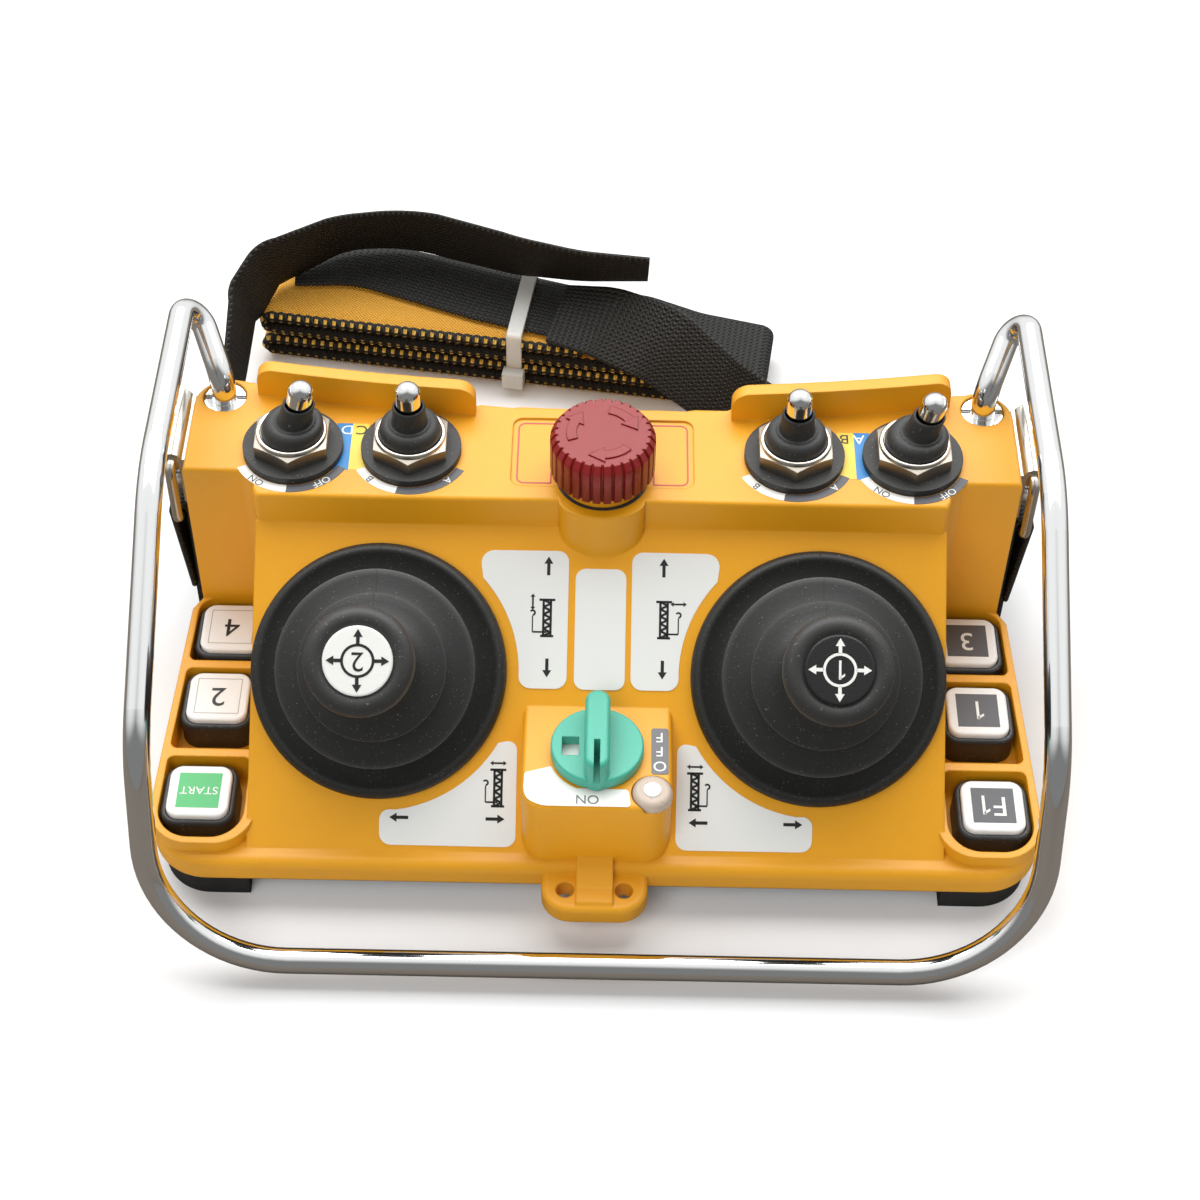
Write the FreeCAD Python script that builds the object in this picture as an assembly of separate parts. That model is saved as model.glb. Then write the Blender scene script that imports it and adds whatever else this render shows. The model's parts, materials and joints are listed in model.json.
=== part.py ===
"""Joystick radio remote control: a yellow belly-box housing with two joysticks, four toggles,
an emergency stop, a rotary key, six push buttons, a guard handle and a folded neck strap.

Millimetres. The origin is on the table under the middle of the housing, +X to the right as seen
from the front, +Y towards the operator and +Z up.
"""
import FreeCAD
import Part
import math
import os

V = FreeCAD.Vector

# Housing shell
WALL = 3.0                    # shell thickness
SEAM_Z = 10.0                 # lower edge of the upper housing
TOP_Z = 82.0                  # flat top of the rear block
COLUMN_W = 20.4               # rear block beside the panel
COLUMN_FRONT_Y = 26.0         # front of the block beside the panel
WALL_Y = 17.0                 # front of the block over the panel
CHAMFER_OUT = 3.9             # slanted step between the two fronts, from the panel edge
CHAMFER_IN = 1.1
REAR_Y = 53.1                 # rear edge at the middle
REAR_ARC_R = 600.0            # hollow curve of the rear edge
REAR_CORNER_R = 10.0
TOP_EDGE_R = 1.2
FLANGE_H = 7.24               # flange above the seam
FLANGE_LEDGE = 5.13           # flange in front of the panel
BASE_CORNER_R = 16.0
FLARE_Y = 22.0                # where the wing's quick flare ends
WING_FLARE = 2.6              # wing beyond the block at the end of its flare
WING_TAPER = 4.2              # and its further growth towards the front
FRONT_TAPER = 13.0            # straight front end of the wing
FLANGE_EDGE_R = 3.0

# Sloped panel
PANEL_TILT = 37.0
PANEL_DROP = 10.6             # upright wall between the top face and the panel

# Button wings
WING_REAR_Z = 28.0
WING_FRONT_Z = 21.3
WING_LEDGE = 3.5              # flange in front of the wing
WING_CORNER_R = 11.0
WING_RIM = 2.0
POCKET_DEPTH = 9.5
POCKET_FLOOR = 2.5            # thickness of the pocket floor
POCKET_CORNER_R = 2.0
RIB_REAR_Y = 2.6              # ribs between the pockets
RIB_FRONT_Y = -27.3
RIB_W = 2.6

# Rear fins
FIN_H = 10.0
FIN_T = 4.0
FIN_IN_X = 36.0
FIN_REACH = 2.4               # fin beyond the panel edge
FIN_CORNER_R = 5.0

# Key block and front lug
KEY_HALF_W = 20.3
KEY_NOSE = 2.13               # block in front of the panel
KEY_TOP_Z = 41.5
KEY_CORNER_R = 7.0
KEY_EDGE_R = 1.5
LUG_HALF_W = 14.5
LUG_REACH = 11.5              # lug in front of the flange
LUG_TOP_Z = 14.8
LUG_CORNER_R = 8.0
LUG_HOLE_R = 2.5
LUG_HOLE_X = 8.0
LUG_HOLE_REACH = 5.0
LUG_RIB_HALF_W = 5.0
LUG_RIB_RISE = 2.0

# Emergency stop
STOP_Y = 26.0
STOP_HEAD_R = 14.4
STOP_HEAD_H = 11.4
STOP_HEAD_WALL = 2.0
STOP_CHAMFER = 2.4
STOP_FLUTES = 27
STOP_FLUTE_R = 0.85
STOP_LIP = 1.6                # smooth band below the flutes
STOP_TRAVEL = 4.0
STOP_COLLAR_R = 11.8
STOP_COLLAR_H = 4.4
STOP_GAP = 0.4                # head above collar seat, at the end of its travel
STOP_STEM_R = 4.5
STOP_SOCKET = 3.0             # stem into the head
STOP_STEM_Z = 66.0            # foot of the stem
STOP_BUSH_R = 8.0
STOP_BLOCK_TOP_Z = 76.0
STOP_BLOCK_Z = 60.0           # where the neck meets the contact block
STOP_BLOCK_H = 22.0
STOP_BLOCK_HALF_W = 11.0
STOP_BLOCK_Y = (18.0, 38.0)
STOP_FIELD_HALF_W = 25.3      # shallow field around the stop
STOP_FIELD_Y = (22.3, 48.6)
STOP_FIELD_DEPTH = 0.6
STOP_FIELD_R = 3.0
BOSS_HALF_W = 11.8            # bulge of the wall in front of the stop
BOSS_DEPTH = 6.6

# Toggle switches
TOGGLE_Y = 34.7
TOGGLE_EDGE = 9.6             # outer toggle from the panel edge
TOGGLE_PITCH = 32.8           # inner toggle from the outer one
TOGGLE_LEAN = 12.0            # lever angle from upright in its end positions
TOGGLE_WASHER_R = 13.9
TOGGLE_WASHER_T = 2.2
TOGGLE_NUT_AF = 20.0
TOGGLE_NUT_H = 4.6
TOGGLE_NUT_BEVEL = 0.8
TOGGLE_BUSH_R = 6.0
TOGGLE_BUSH_H = 8.2           # above the top face
TOGGLE_PIVOT_H = 4.0
TOGGLE_BALL_R = 3.5
TOGGLE_NECK_R = 1.7
TOGGLE_BAT_START = 8.0        # heights above the pivot
TOGGLE_BAT_END = 14.5
TOGGLE_TIP_R = 3.5
TOGGLE_TIP_H = 18.0           # centre of the rounded tip
TOGGLE_TAIL = 7.0
TOGGLE_PIN_R = 0.8
TOGGLE_PIN_HALF = 4.8         # pin from the middle of the ball
TOGGLE_BODY = (20.0, 14.0, 22.0)
TOGGLE_BOOT = (
    (8.3, 0.05), (8.3, 2.0), (7.9, 3.4), (7.0, 4.7), (5.7, 5.7), (4.9, 6.6), (4.5, 8.2), (4.4, 10.8),
)
TOGGLE_BOOT_WALL = 0.7

# Joysticks
JOY_KEY_GAP = 4.9             # boot beside the key block
JOY_SLOPE = 40.8              # boot centre, down the slope from the panel's rear edge
JOY_HOLE_R = 22.0
JOY_PIVOT = 10.0              # gimbal centre below the panel face
JOY_PLATE = 50.0
JOY_PLATE_T = 2.5
JOY_CHEEK_IN = 14.0
JOY_CHEEK_T = 3.0
JOY_CHEEK_W = 18.0
JOY_OPENING = 32.0            # slope-wise opening of the frame plate
JOY_CHEEK_BELOW = 6.0         # cheek below the gimbal axis
JOY_YOKE = (27.0, 22.0, 8.0)
JOY_YOKE_WINDOW = (18.0, 15.0)
JOY_YOKE_PIN_R = 2.0
JOY_HUB = (12.0, 13.6, 10.0)
JOY_STICK_PIN_R = 1.5
JOY_SHAFT_R = 4.0
JOY_TAIL_R = 2.5
JOY_TAIL = 14.0
JOY_KNOB_BASE = 42.0          # heights above the panel face
JOY_KNOB_TOP = 60.0
JOY_NECK_R = 8.4
JOY_INSERT_R = 10.0
JOY_INSERT_T = 1.2
JOY_INSERT_SEAT = 0.6
JOY_KNOB_BORE = 8.0
JOY_KNOB_SHAPE = (
    (9.0, 44.0), (10.4, 46.4), (12.4, 49.2), (14.4, 51.6), (15.2, 52.9), (15.5, 54.4),
    (15.5, 56.4), (15.1, 58.0), (14.2, 59.2), (12.9, 59.9), (12.0, 60.0),
)
JOY_BOOT = ((34.6, 0.0), (35.2, 2.6), (33.4, 5.2), (27.2, 9.0), (26.6, 11.2), (27.6, 13.4), (26.4, 15.4),
            (20.0, 18.2), (19.4, 20.2), (20.2, 22.2), (18.8, 24.4), (13.0, 30.0), (10.2, 36.0), (9.4, 41.6))
JOY_BOOT_WALL = 1.6

# Key switch and status lens
KEY_BACK = 18.5               # key and lens behind the front of their block
KEY_DISC_R = 12.6
KEY_DISC_T = 3.4
KEY_BAR_W = 6.8
KEY_BAR_H = 7.6
KEY_BAR_OVER = 0.6            # bar end beyond the disc
KEY_SLOT_W = 1.6
KEY_SLOT_LENGTH = 9.0
KEY_LIFT = 0.6                # disc above the block
KEY_SHAFT_R = 3.0
KEY_BODY_R = 9.0
KEY_BODY_H = 16.0
KEY_SHAFT_IN = 9.0            # shaft inside the switch
KEY_WINDOW = (4.6, 6.2)
KEY_WINDOW_X = -7.2
KEY_WINDOW_Y = -0.8
LENS_X = 15.0
LENS_BACK = 5.4
LENS_R = 5.4
LENS_SEAT = 1.8               # notch depth at the block's corner
LENS_H = 3.2
LENS_TUBE_R = 2.6
LENS_TUBE = 7.0

# Push buttons, rear to front
BUTTON_IN = (10.7, 12.0, 13.9)   # from the panel edge
BUTTON_Y = (14.8, -9.3, -40.6)
BUTTON_CAP = 17.2
BUTTON_CAP_T = 4.0
BUTTON_CAP_R = 3.6
BUTTON_EDGE_R = 0.8
BUTTON_GAP = 0.2              # cap to sleeve
BUTTON_SLEEVE = 20.5
BUTTON_SLEEVE_R = 5.0
BUTTON_SLEEVE_EDGE_R = 1.2
BUTTON_H = 10.8               # cap face above the pocket floor
BUTTON_PROUD = 1.6            # cap face above the sleeve
BUTTON_TRAVEL = 1.8
BUTTON_STEM_R = 3.0
LEFT_BUTTONS = ("4", "2", "start")
RIGHT_BUTTONS = ("3", "1", "f")

# Guard handle
ROD_R = 3.5
SOCKET_SIDE = 8.6             # rod socket from the side and from the rear edge
SOCKET_REAR = 7.8
SOCKET_R = 6.2
SOCKET_DEPTH = 2.2
SOCKET_BOSS_R = 7.5
SOCKET_BORE = 20.0
RAIL_OUT = 2.6                # side rail beyond the block
POST_TOP_Z = 88.5
REAR_BEND = (80.5, 103.0)     # y, z of the bend behind the block
CREST = (3.0, 104.5)          # y, z where the rail starts to fall
LEG_BEND = (-60.0, 67.0)      # y, z where the leg turns down
FRONT_RAIL = (-84.0, 6.5)     # y, z of the front rail
POST_BEND_R = 9.0
REAR_BEND_R = 5.2
CREST_R = 40.0
LEG_BEND_R = 30.0
FRONT_BEND_R = 36.0
RING_NUT_T = 1.6
RING_NUT_SLOT = 2.0

# Strap brackets and rings
BRACKET_Y = (31.5, 57.5)
BRACKET_Z = (63.0, 79.0)
BRACKET_T = 2.0
BARREL_R = 3.2
RING_WIRE_R = 1.5
RING_OUT = 4.0                # ring axis beyond the block
RING_AXIS_Z = 79.0
RING_Y = (28.6, 60.4)
RING_DROP = 21.0
RING_TOP_CORNER_R = 3.0
RING_LOW_CORNER_R = 2.8

# Neck strap
WEB_T = 1.6
WEB_W = 26.0
WEB_LIFT = 0.2
LOOP_GAP = 0.4                # loop above its run
RUN_IN = 1.6                  # start of each run inside the ring axis
RUN_START_Y = 33.0
LEFT_RUN = ((-123.0, 140.0), (-119.5, 192.0), (-92.0, 203.5), (-60.0, 203.0), (-33.0, 189.0), (14.0, 181.0))
LEFT_RUN_R = (60.0, 14.0, 25.0, 40.0, 40.0)
RIGHT_RUN = ((120.5, 72.0), (100.0, 90.0), (60.0, 105.0), (43.5, 138.0))
RIGHT_RUN_R = (14.0, 40.0, 30.0)
FOLD_PATH = ((-40.0, 20.6), (51.0, 20.6), (72.0, 15.6), (96.0, 13.0), (96.0, 4.0), (77.0, 1.8))
FOLD_R = (30.0, 40.0, 4.0, 4.0)
PAD_T = 3.4
PAD_W = 30.0
PAD_GAP = 1.4
PAD_LAYERS = 4
PAD_LEFT_X = -71.0
PAD_RIGHT_X = (72.0, 62.0, 36.0)
PAD_CENTRE = (-41.0, 164.0)
PAD_TURN = -8.0
PAD_LIFT = 1.4
TIE_T = 1.2
TIE_W = 5.0
TIE_X = 11.0
TIE_R = 0.6
TIE_GAP = 0.5
TIE_LIFT = 0.1
TIE_TOP_Z = 21.8
TIE_HEAD = (7.0, 5.0, 6.0)
TIE_HEAD_Z = 3.0

# Bottom cover, seal, feet and battery
COVER_INSET = 2.0
COVER_WALL = 3.0
COVER_FLOOR = 3.0
COVER_BEVEL_H = 7.0           # front edge drawn in under the flange
COVER_BEVEL_D = 5.0
GASKET_T = 0.6
GASKET_W = 2.4
FOOT_R = 8.0
FOOT_T = 2.0
FOOT_Y = (-44.0, 46.0)
FOOT_IN = 14.0                # rear feet from the side of the block
FOOT_OUT = 7.4                # front feet beyond the panel edge
CELL_R = 7.2
CELL_LENGTH = 50.5
CELL_GAP = 0.6
CELL_NUB = 1.1
CELL_NUB_R = 2.7
CONTACT_T = 0.6
CONTACT_SIZE = 11.0
WELL_WALL = 2.0
CONTACT_ROOM = 2.7            # for the sprung contact at each end of the well
WELL_SIDE = 0.6               # cell to well wall
WELL_MIDDLE_Y = 29.3
DOOR_T = 1.5
DOOR_LIP = 8.0                # door beyond the well at each end
DOOR_EDGE = 2.2               # door beyond the well at front and rear
DOOR_SCREW_OUT = 5.0          # screw beyond the well
DOOR_SCREW_HEAD = 1.2         # depth of the countersunk head
DOOR_SCREW_LENGTH = 6.5

# Boards
BOARD_T = 1.6
MAIN_BOARD_IN = 11.6          # board end from the panel edge
MAIN_BOARD_Y = (21.0, 46.0)
MAIN_BOARD_RISE = 3.0         # above the battery well
MAIN_POST_R = 3.0
MAIN_POST_IN = 5.5            # post from the end of the well
MAIN_POST_Y = (24.0, 43.0)
CHIP_W = 14.0
CHIP_Y = (26.0, 40.0)
CHIP_H = 1.6
RADIO_SIZE = (26.0, 16.0, 3.0)
ANTENNA_R = 1.6
ANTENNA_H = 26.0
RADIO_X = 14.0
BUTTON_BOARD_SPAN = (1.4, 17.0)  # from the panel edge
BUTTON_BOARD_Y = (-46.0, 18.0)
BUTTON_BOARD_RISE = 2.0       # above the cover's floor
SWITCH_W = 6.0
SWITCH_H = 1.4

# Screws
SCREW_R = 1.5
SCREW_HEAD_R = 2.8
SCREW_HEAD_H = 2.0
SCREW_BOSS_R = 4.0
SCREW_SLOT = 0.8
SCREW_GRIP = 8.0              # thread into the housing
BLOCK_SCREW = (8.5, 31.0)     # in from the side of the block, y
PANEL_SCREW = (11.6, -44.0)   # in from the panel edge, y
KEY_SCREW = (9.7, -44.0)      # out from the key block, y
BRACKET_SCREW_Y = (36.0, 53.0)
BRACKET_SCREW_Z = 67.5
BRACKET_SCREW_LENGTH = 4.5

# Clearances
FIT = 0.05                    # running fit, radial
SEAT_FIT = 0.3                # between neighbours that don't touch
OVER = 1.0                    # how far a cutter runs past the face it cuts
NO_LENGTH = 0.0001            # shorter runs between two bends are left out

# Worked out from the sizes above
JOY_BOOT_R = max(r for r, z in JOY_BOOT)
JOY_X = KEY_HALF_W + JOY_KEY_GAP + JOY_BOOT_R
PANEL_HALF_W = JOY_X + JOY_BOOT_R
BLOCK_HALF_W = PANEL_HALF_W + COLUMN_W
FLARE_HALF_W = BLOCK_HALF_W + WING_FLARE
BASE_HALF_W = FLARE_HALF_W + WING_TAPER
FIN_OUT_X = PANEL_HALF_W + FIN_REACH
TOGGLE_OUTER_X = PANEL_HALF_W - TOGGLE_EDGE
TOGGLE_INNER_X = TOGGLE_OUTER_X - TOGGLE_PITCH
BUTTON_X = [PANEL_HALF_W + reach for reach in BUTTON_IN]
SOCKET_X = BLOCK_HALF_W - SOCKET_SIDE
RAIL_X = BLOCK_HALF_W + RAIL_OUT
RING_AXIS_X = BLOCK_HALF_W + RING_OUT
RUN_START_X = RING_AXIS_X - RUN_IN
LOOP_BOTTOM_Z = WEB_LIFT + WEB_W + LOOP_GAP
WELL_HALF_W = CELL_LENGTH + CELL_GAP / 2 + CONTACT_ROOM
WELL_HALF_D = 2 * CELL_R + CELL_GAP / 2 + WELL_SIDE
WELL_Y = (WELL_MIDDLE_Y - WELL_HALF_D, WELL_MIDDLE_Y + WELL_HALF_D)
DOOR_SCREW_X = WELL_HALF_W + DOOR_SCREW_OUT
MAIN_BOARD_X = PANEL_HALF_W - MAIN_BOARD_IN
BUTTON_BOARD_X = [PANEL_HALF_W + reach for reach in BUTTON_BOARD_SPAN]
FOOT_XY = ((PANEL_HALF_W + FOOT_OUT, FOOT_Y[0]), (BLOCK_HALF_W - FOOT_IN, FOOT_Y[1]))
HOUSING_SCREWS = (
    (BLOCK_HALF_W - BLOCK_SCREW[0], BLOCK_SCREW[1]),
    (PANEL_HALF_W - PANEL_SCREW[0], PANEL_SCREW[1]),
    (KEY_HALF_W + KEY_SCREW[0], KEY_SCREW[1]),
)
PANEL_REAR_Z = TOP_Z - PANEL_DROP
SLOPE = math.radians(PANEL_TILT)
FLANGE_Z = SEAM_Z + FLANGE_H
PANEL_FRONT_Y = WALL_Y - (PANEL_REAR_Z - FLANGE_Z) / math.tan(SLOPE)
BASE_FRONT_Y = PANEL_FRONT_Y - FLANGE_LEDGE
FRONT_TAPER_Y = BASE_FRONT_Y + FRONT_TAPER
WING_FRONT_Y = BASE_FRONT_Y + WING_LEDGE
KEY_FRONT_Y = PANEL_FRONT_Y - KEY_NOSE
KEY_Y = KEY_FRONT_Y + KEY_BACK
LENS_Y = KEY_FRONT_Y + LENS_BACK
LUG_FRONT_Y = BASE_FRONT_Y - LUG_REACH
LUG_HOLE_Y = BASE_FRONT_Y - LUG_HOLE_REACH
COVER_TOP_Z = SEAM_Z - GASKET_T
CELL_Z = COVER_FLOOR + CELL_R + SEAT_FIT
WELL_TOP_Z = CELL_Z + CELL_R + SEAT_FIT + WELL_WALL
MAIN_BOARD_Z = WELL_TOP_Z + MAIN_BOARD_RISE
BUTTON_BOARD_Z = COVER_FLOOR + BUTTON_BOARD_RISE
STOP_HEAD_Z = TOP_Z + STOP_TRAVEL + STOP_GAP


def box(x0, x1, y0, y1, z0, z1):
    return Part.makeBox(x1 - x0, y1 - y0, z1 - z0, V(x0, y0, z0))


def cylinder(radius, x, y, z0, z1):
    return Part.makeCylinder(radius, z1 - z0, V(x, y, z0))


def tube(outer, inner, x, y, z0, z1):
    return cylinder(outer, x, y, z0, z1).cut(cylinder(inner, x, y, z0 - OVER, z1 + OVER))


def prism(points, z0, z1):
    """Upright prism over a plan outline."""
    corners = [V(x, y, z0) for x, y in points]
    return Part.Face(Part.makePolygon(corners + corners[:1])).extrude(V(0, 0, z1 - z0))


def side_prism(points, x0, x1):
    """Prism along X over an outline of (y, z) points."""
    corners = [V(x0, y, z) for y, z in points]
    return Part.Face(Part.makePolygon(corners + corners[:1])).extrude(V(x1 - x0, 0, 0))


def turned(profile):
    """Solid turned about Z from (radius, z) points."""
    corners = [V(r, 0, z) for r, z in profile]
    return Part.Face(Part.makePolygon(corners + corners[:1])).revolve(V(0, 0, 0), V(0, 0, 1), 360)


def fuse(solids):
    return solids[0].multiFuse(solids[1:]).removeSplitter()


def mirrored(solid):
    return solid.mirror(V(0, 0, 0), V(1, 0, 0))


def both_sides(solid):
    return [solid, mirrored(solid)]


def is_upright(edge):
    first, last = edge.Vertexes[0].Point, edge.Vertexes[-1].Point
    return len(edge.Vertexes) == 2 and math.hypot(first.x - last.x, first.y - last.y) < 0.001


def lies_at(edge, z):
    return all(abs(vertex.Point.z - z) < 0.001 for vertex in edge.Vertexes)


def rounded(solid, radius, chosen):
    """The solid with each edge that the test chooses rounded."""
    return solid.makeFillet(radius, [edge for edge in solid.Edges if chosen(edge)])


def rounded_box(x0, x1, y0, y1, z0, z1, radius):
    return rounded(box(x0, x1, y0, y1, z0, z1), radius, is_upright)


def rounded_path(points, radii):
    """Straight runs between the points, joined by tangent arcs."""
    edges = []
    start = points[0]
    for before, corner, after, radius in zip(points, points[1:], points[2:], radii):
        back = (before - corner).normalize()
        ahead = (after - corner).normalize()
        half = back.getAngle(ahead) / 2
        first = corner + back * (radius / math.tan(half))
        last = corner + ahead * (radius / math.tan(half))
        middle = corner + (back + ahead).normalize() * (radius / math.sin(half) - radius)
        if (first - start).Length > NO_LENGTH:
            edges.append(Part.makeLine(start, first))
        edges.append(Part.Arc(first, middle, last).toShape())
        start = last
    edges.append(Part.makeLine(start, points[-1]))
    return Part.Wire(edges)


def rod(points, radii, radius):
    """Round bar bent along the points."""
    path = rounded_path(points, radii)
    section = Part.Wire(Part.makeCircle(radius, points[0], points[1] - points[0]))
    return path.makePipeShell([section], True, False)


def shifted(points, radii, up, distance):
    """The path moved sideways in its own plane, with its bend radii."""
    runs = [(b - a).normalize() for a, b in zip(points, points[1:])]
    sides = [up.cross(run) for run in runs]
    moved = [points[0] + sides[0] * distance]
    new_radii = []
    for i, radius in enumerate(radii):
        mitre = (sides[i] + sides[i + 1]) * (distance / (1 + sides[i].dot(sides[i + 1])))
        moved.append(points[i + 1] + mitre)
        turn = math.copysign(1, runs[i].cross(runs[i + 1]).dot(up))
        new_radii.append(radius - turn * distance)
    moved.append(points[-1] + sides[-1] * distance)
    return moved, new_radii


def ribbon(points, radii, thickness, width):
    """Flat strip bent along the points, extruded by the width vector."""
    up = V(width).normalize()
    left = rounded_path(*shifted(points, radii, up, thickness / 2))
    right = rounded_path(*shifted(points, radii, up, -thickness / 2))
    ends = [Part.makeLine(left.OrderedVertexes[k].Point, right.OrderedVertexes[k].Point) for k in (0, -1)]
    outline = Part.Wire(Part.__sortEdges__(left.Edges + right.Edges + ends))
    return Part.Face(outline).extrude(width)


def on_panel(solid, x):
    """Place a solid built about the panel's face, with its normal along Z."""
    centre = V(x, WALL_Y - JOY_SLOPE * math.cos(SLOPE), PANEL_REAR_Z - JOY_SLOPE * math.sin(SLOPE))
    placement = FreeCAD.Placement(centre, FreeCAD.Rotation(V(1, 0, 0), PANEL_TILT))
    return solid.transformed(placement.toMatrix())


def rear_edge_y(x, inset=0.0):
    return REAR_Y + REAR_ARC_R - math.sqrt((REAR_ARC_R + inset) ** 2 - x * x)


def socket_y():
    """Rod socket, a fixed distance from the hollow rear edge."""
    return rear_edge_y(SOCKET_X) - SOCKET_REAR


def wing_z(y):
    """Height of the sloping wing rim."""
    share = (COLUMN_FRONT_Y - y) / (COLUMN_FRONT_Y - WING_FRONT_Y)
    return WING_REAR_Z + (WING_FRONT_Z - WING_REAR_Z) * share


def wing_edge_x(y):
    """Outer edge of the wing."""
    share = (FLARE_Y - y) / (FLARE_Y - FRONT_TAPER_Y)
    return FLARE_HALF_W + (BASE_HALF_W - FLARE_HALF_W) * share


def closed_behind(points, inset, z0, z1):
    """Prism over an open outline whose two ends are joined by the hollow rear curve."""
    lines = [Part.makeLine(V(*a, z0), V(*b, z0)) for a, b in zip(points, points[1:])]
    middle = V(0, rear_edge_y(0, inset), z0)
    arc = Part.Arc(V(*points[-1], z0), middle, V(*points[0], z0)).toShape()
    return Part.Face(Part.Wire(lines + [arc])).extrude(V(0, 0, z1 - z0))


def block_plan(inset, z0, z1):
    """Rear block, its walls moved in by the inset."""
    half = BLOCK_HALF_W - inset
    right = [
        (PANEL_HALF_W - CHAMFER_IN - inset / 2, WALL_Y + inset),
        (PANEL_HALF_W + CHAMFER_OUT - inset / 2, COLUMN_FRONT_Y + inset),
        (half, COLUMN_FRONT_Y + inset),
        (half, rear_edge_y(half, inset)),
    ]
    left = [(-x, y) for x, y in reversed(right)]
    solid = closed_behind(left + right, inset, z0, z1)
    at_rear = rear_edge_y(half, inset)
    return rounded(solid, REAR_CORNER_R - inset, lambda e: is_upright(e) and e.Vertexes[0].Y > at_rear - OVER)


def base_plan(inset, z0, z1):
    """Outline of the whole housing at its foot, moved in by the inset."""
    half = BLOCK_HALF_W - inset
    right = [
        (BASE_HALF_W - inset, BASE_FRONT_Y + inset),
        (BASE_HALF_W - inset, FRONT_TAPER_Y),
        (FLARE_HALF_W - inset, FLARE_Y),
        (half, COLUMN_FRONT_Y),
        (half, rear_edge_y(half, inset)),
    ]
    left = [(-x, y) for x, y in reversed(right)]
    solid = closed_behind(left + right, inset, z0, z1)
    at_rear = rear_edge_y(half, inset)
    at_front = BASE_FRONT_Y + inset
    rear_corner, front_corner = REAR_CORNER_R - inset, BASE_CORNER_R - inset
    solid = rounded(solid, rear_corner, lambda e: is_upright(e) and e.Vertexes[0].Y > at_rear - OVER)
    return rounded(solid, front_corner, lambda e: is_upright(e) and e.Vertexes[0].Y < at_front + OVER)


def rear_block():
    solid = block_plan(0, SEAM_Z, TOP_Z)
    return rounded(solid, TOP_EDGE_R, lambda e: lies_at(e, TOP_Z))


def sloped_panel(inset):
    """Wedge under the panel face, or its hollow when inset by the wall."""
    fall = inset / math.cos(SLOPE)
    half = PANEL_HALF_W - inset
    rear = COLUMN_FRONT_Y
    front = PANEL_FRONT_Y + inset
    outline = [
        (rear, SEAM_Z),
        (rear, PANEL_REAR_Z - inset),
        (WALL_Y + inset, PANEL_REAR_Z + inset * math.tan(SLOPE) - fall),
        (front, FLANGE_Z + inset * math.tan(SLOPE) - fall),
        (front, SEAM_Z),
    ]
    return side_prism(outline, -half, half)


def wing():
    """Right button wing with its sloping rim, before the pockets."""
    plan = base_plan(0, SEAM_Z, WING_REAR_Z + OVER)
    rear = COLUMN_FRONT_Y + OVER
    slope = [
        (rear, SEAM_Z), (rear, wing_z(rear)), (WING_FRONT_Y, wing_z(WING_FRONT_Y)), (WING_FRONT_Y, SEAM_Z),
    ]
    solid = plan.common(side_prism(slope, PANEL_HALF_W - WING_RIM, BASE_HALF_W + OVER))
    at_front = WING_FRONT_Y + OVER
    return rounded(solid, WING_CORNER_R, lambda e: is_upright(e) and e.Vertexes[0].Y < at_front)


def pocket_floor_z(y):
    return wing_z(y) - POCKET_DEPTH


def pockets():
    """Cutters for the three button pockets of the right wing."""
    half_rib = RIB_W / 2
    inside_front = WING_CORNER_R - WING_RIM
    front_inner = PANEL_HALF_W + WING_RIM / 2
    spans = (
        (RIB_REAR_Y + half_rib, COLUMN_FRONT_Y, PANEL_HALF_W, POCKET_CORNER_R, BUTTON_SLEEVE_R),
        (RIB_FRONT_Y + half_rib, RIB_REAR_Y - half_rib, PANEL_HALF_W, POCKET_CORNER_R, POCKET_CORNER_R),
        (WING_FRONT_Y + WING_RIM, RIB_FRONT_Y - half_rib, front_inner, inside_front, POCKET_CORNER_R),
    )
    cutters = []
    for (front, rear, inner, front_r, rear_r), y in zip(spans, BUTTON_Y):
        outline = [
            (inner, front),
            (wing_edge_x(max(front, FRONT_TAPER_Y)) - WING_RIM, front),
            (wing_edge_x(min(rear, FLARE_Y)) - WING_RIM, rear),
            (inner, rear),
        ]
        solid = prism(outline, pocket_floor_z(y), TOP_Z)
        solid = rounded(solid, front_r, lambda e: is_upright(e) and e.Vertexes[0].Y < front + OVER)
        cutters.append(rounded(solid, rear_r, lambda e: is_upright(e) and e.Vertexes[0].Y > rear - OVER))
    return cutters


def fin():
    """Upright guard along the right half of the rear edge."""
    def edge_arc(inset):
        mid = (FIN_IN_X + FIN_OUT_X) / 2
        points = [V(x, rear_edge_y(x, inset), TOP_Z - OVER) for x in (FIN_IN_X, mid, FIN_OUT_X)]
        return Part.Arc(*points).toShape()
    back, front = edge_arc(TOP_EDGE_R), edge_arc(TOP_EDGE_R + FIN_T)
    ends = [Part.makeLine(back.Vertexes[k].Point, front.Vertexes[k].Point) for k in (0, 1)]
    outline = Part.Wire(Part.__sortEdges__([back, front] + ends))
    solid = Part.Face(outline).extrude(V(0, 0, FIN_H + OVER))
    top = TOP_Z + FIN_H
    across = [e for e in solid.Edges if lies_at(e, top) and e.Length < 2 * FIN_T]
    solid = solid.makeFillet(FIN_CORNER_R, across)
    return solid


def key_block():
    solid = box(-KEY_HALF_W, KEY_HALF_W, KEY_FRONT_Y, 0, SEAM_Z, KEY_TOP_Z)
    solid = rounded(solid, KEY_CORNER_R, lambda e: is_upright(e) and e.Vertexes[0].Y < KEY_FRONT_Y + OVER)
    return rounded(solid, KEY_EDGE_R, lambda e: lies_at(e, KEY_TOP_Z) and e.CenterOfMass.y < -OVER)


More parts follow.
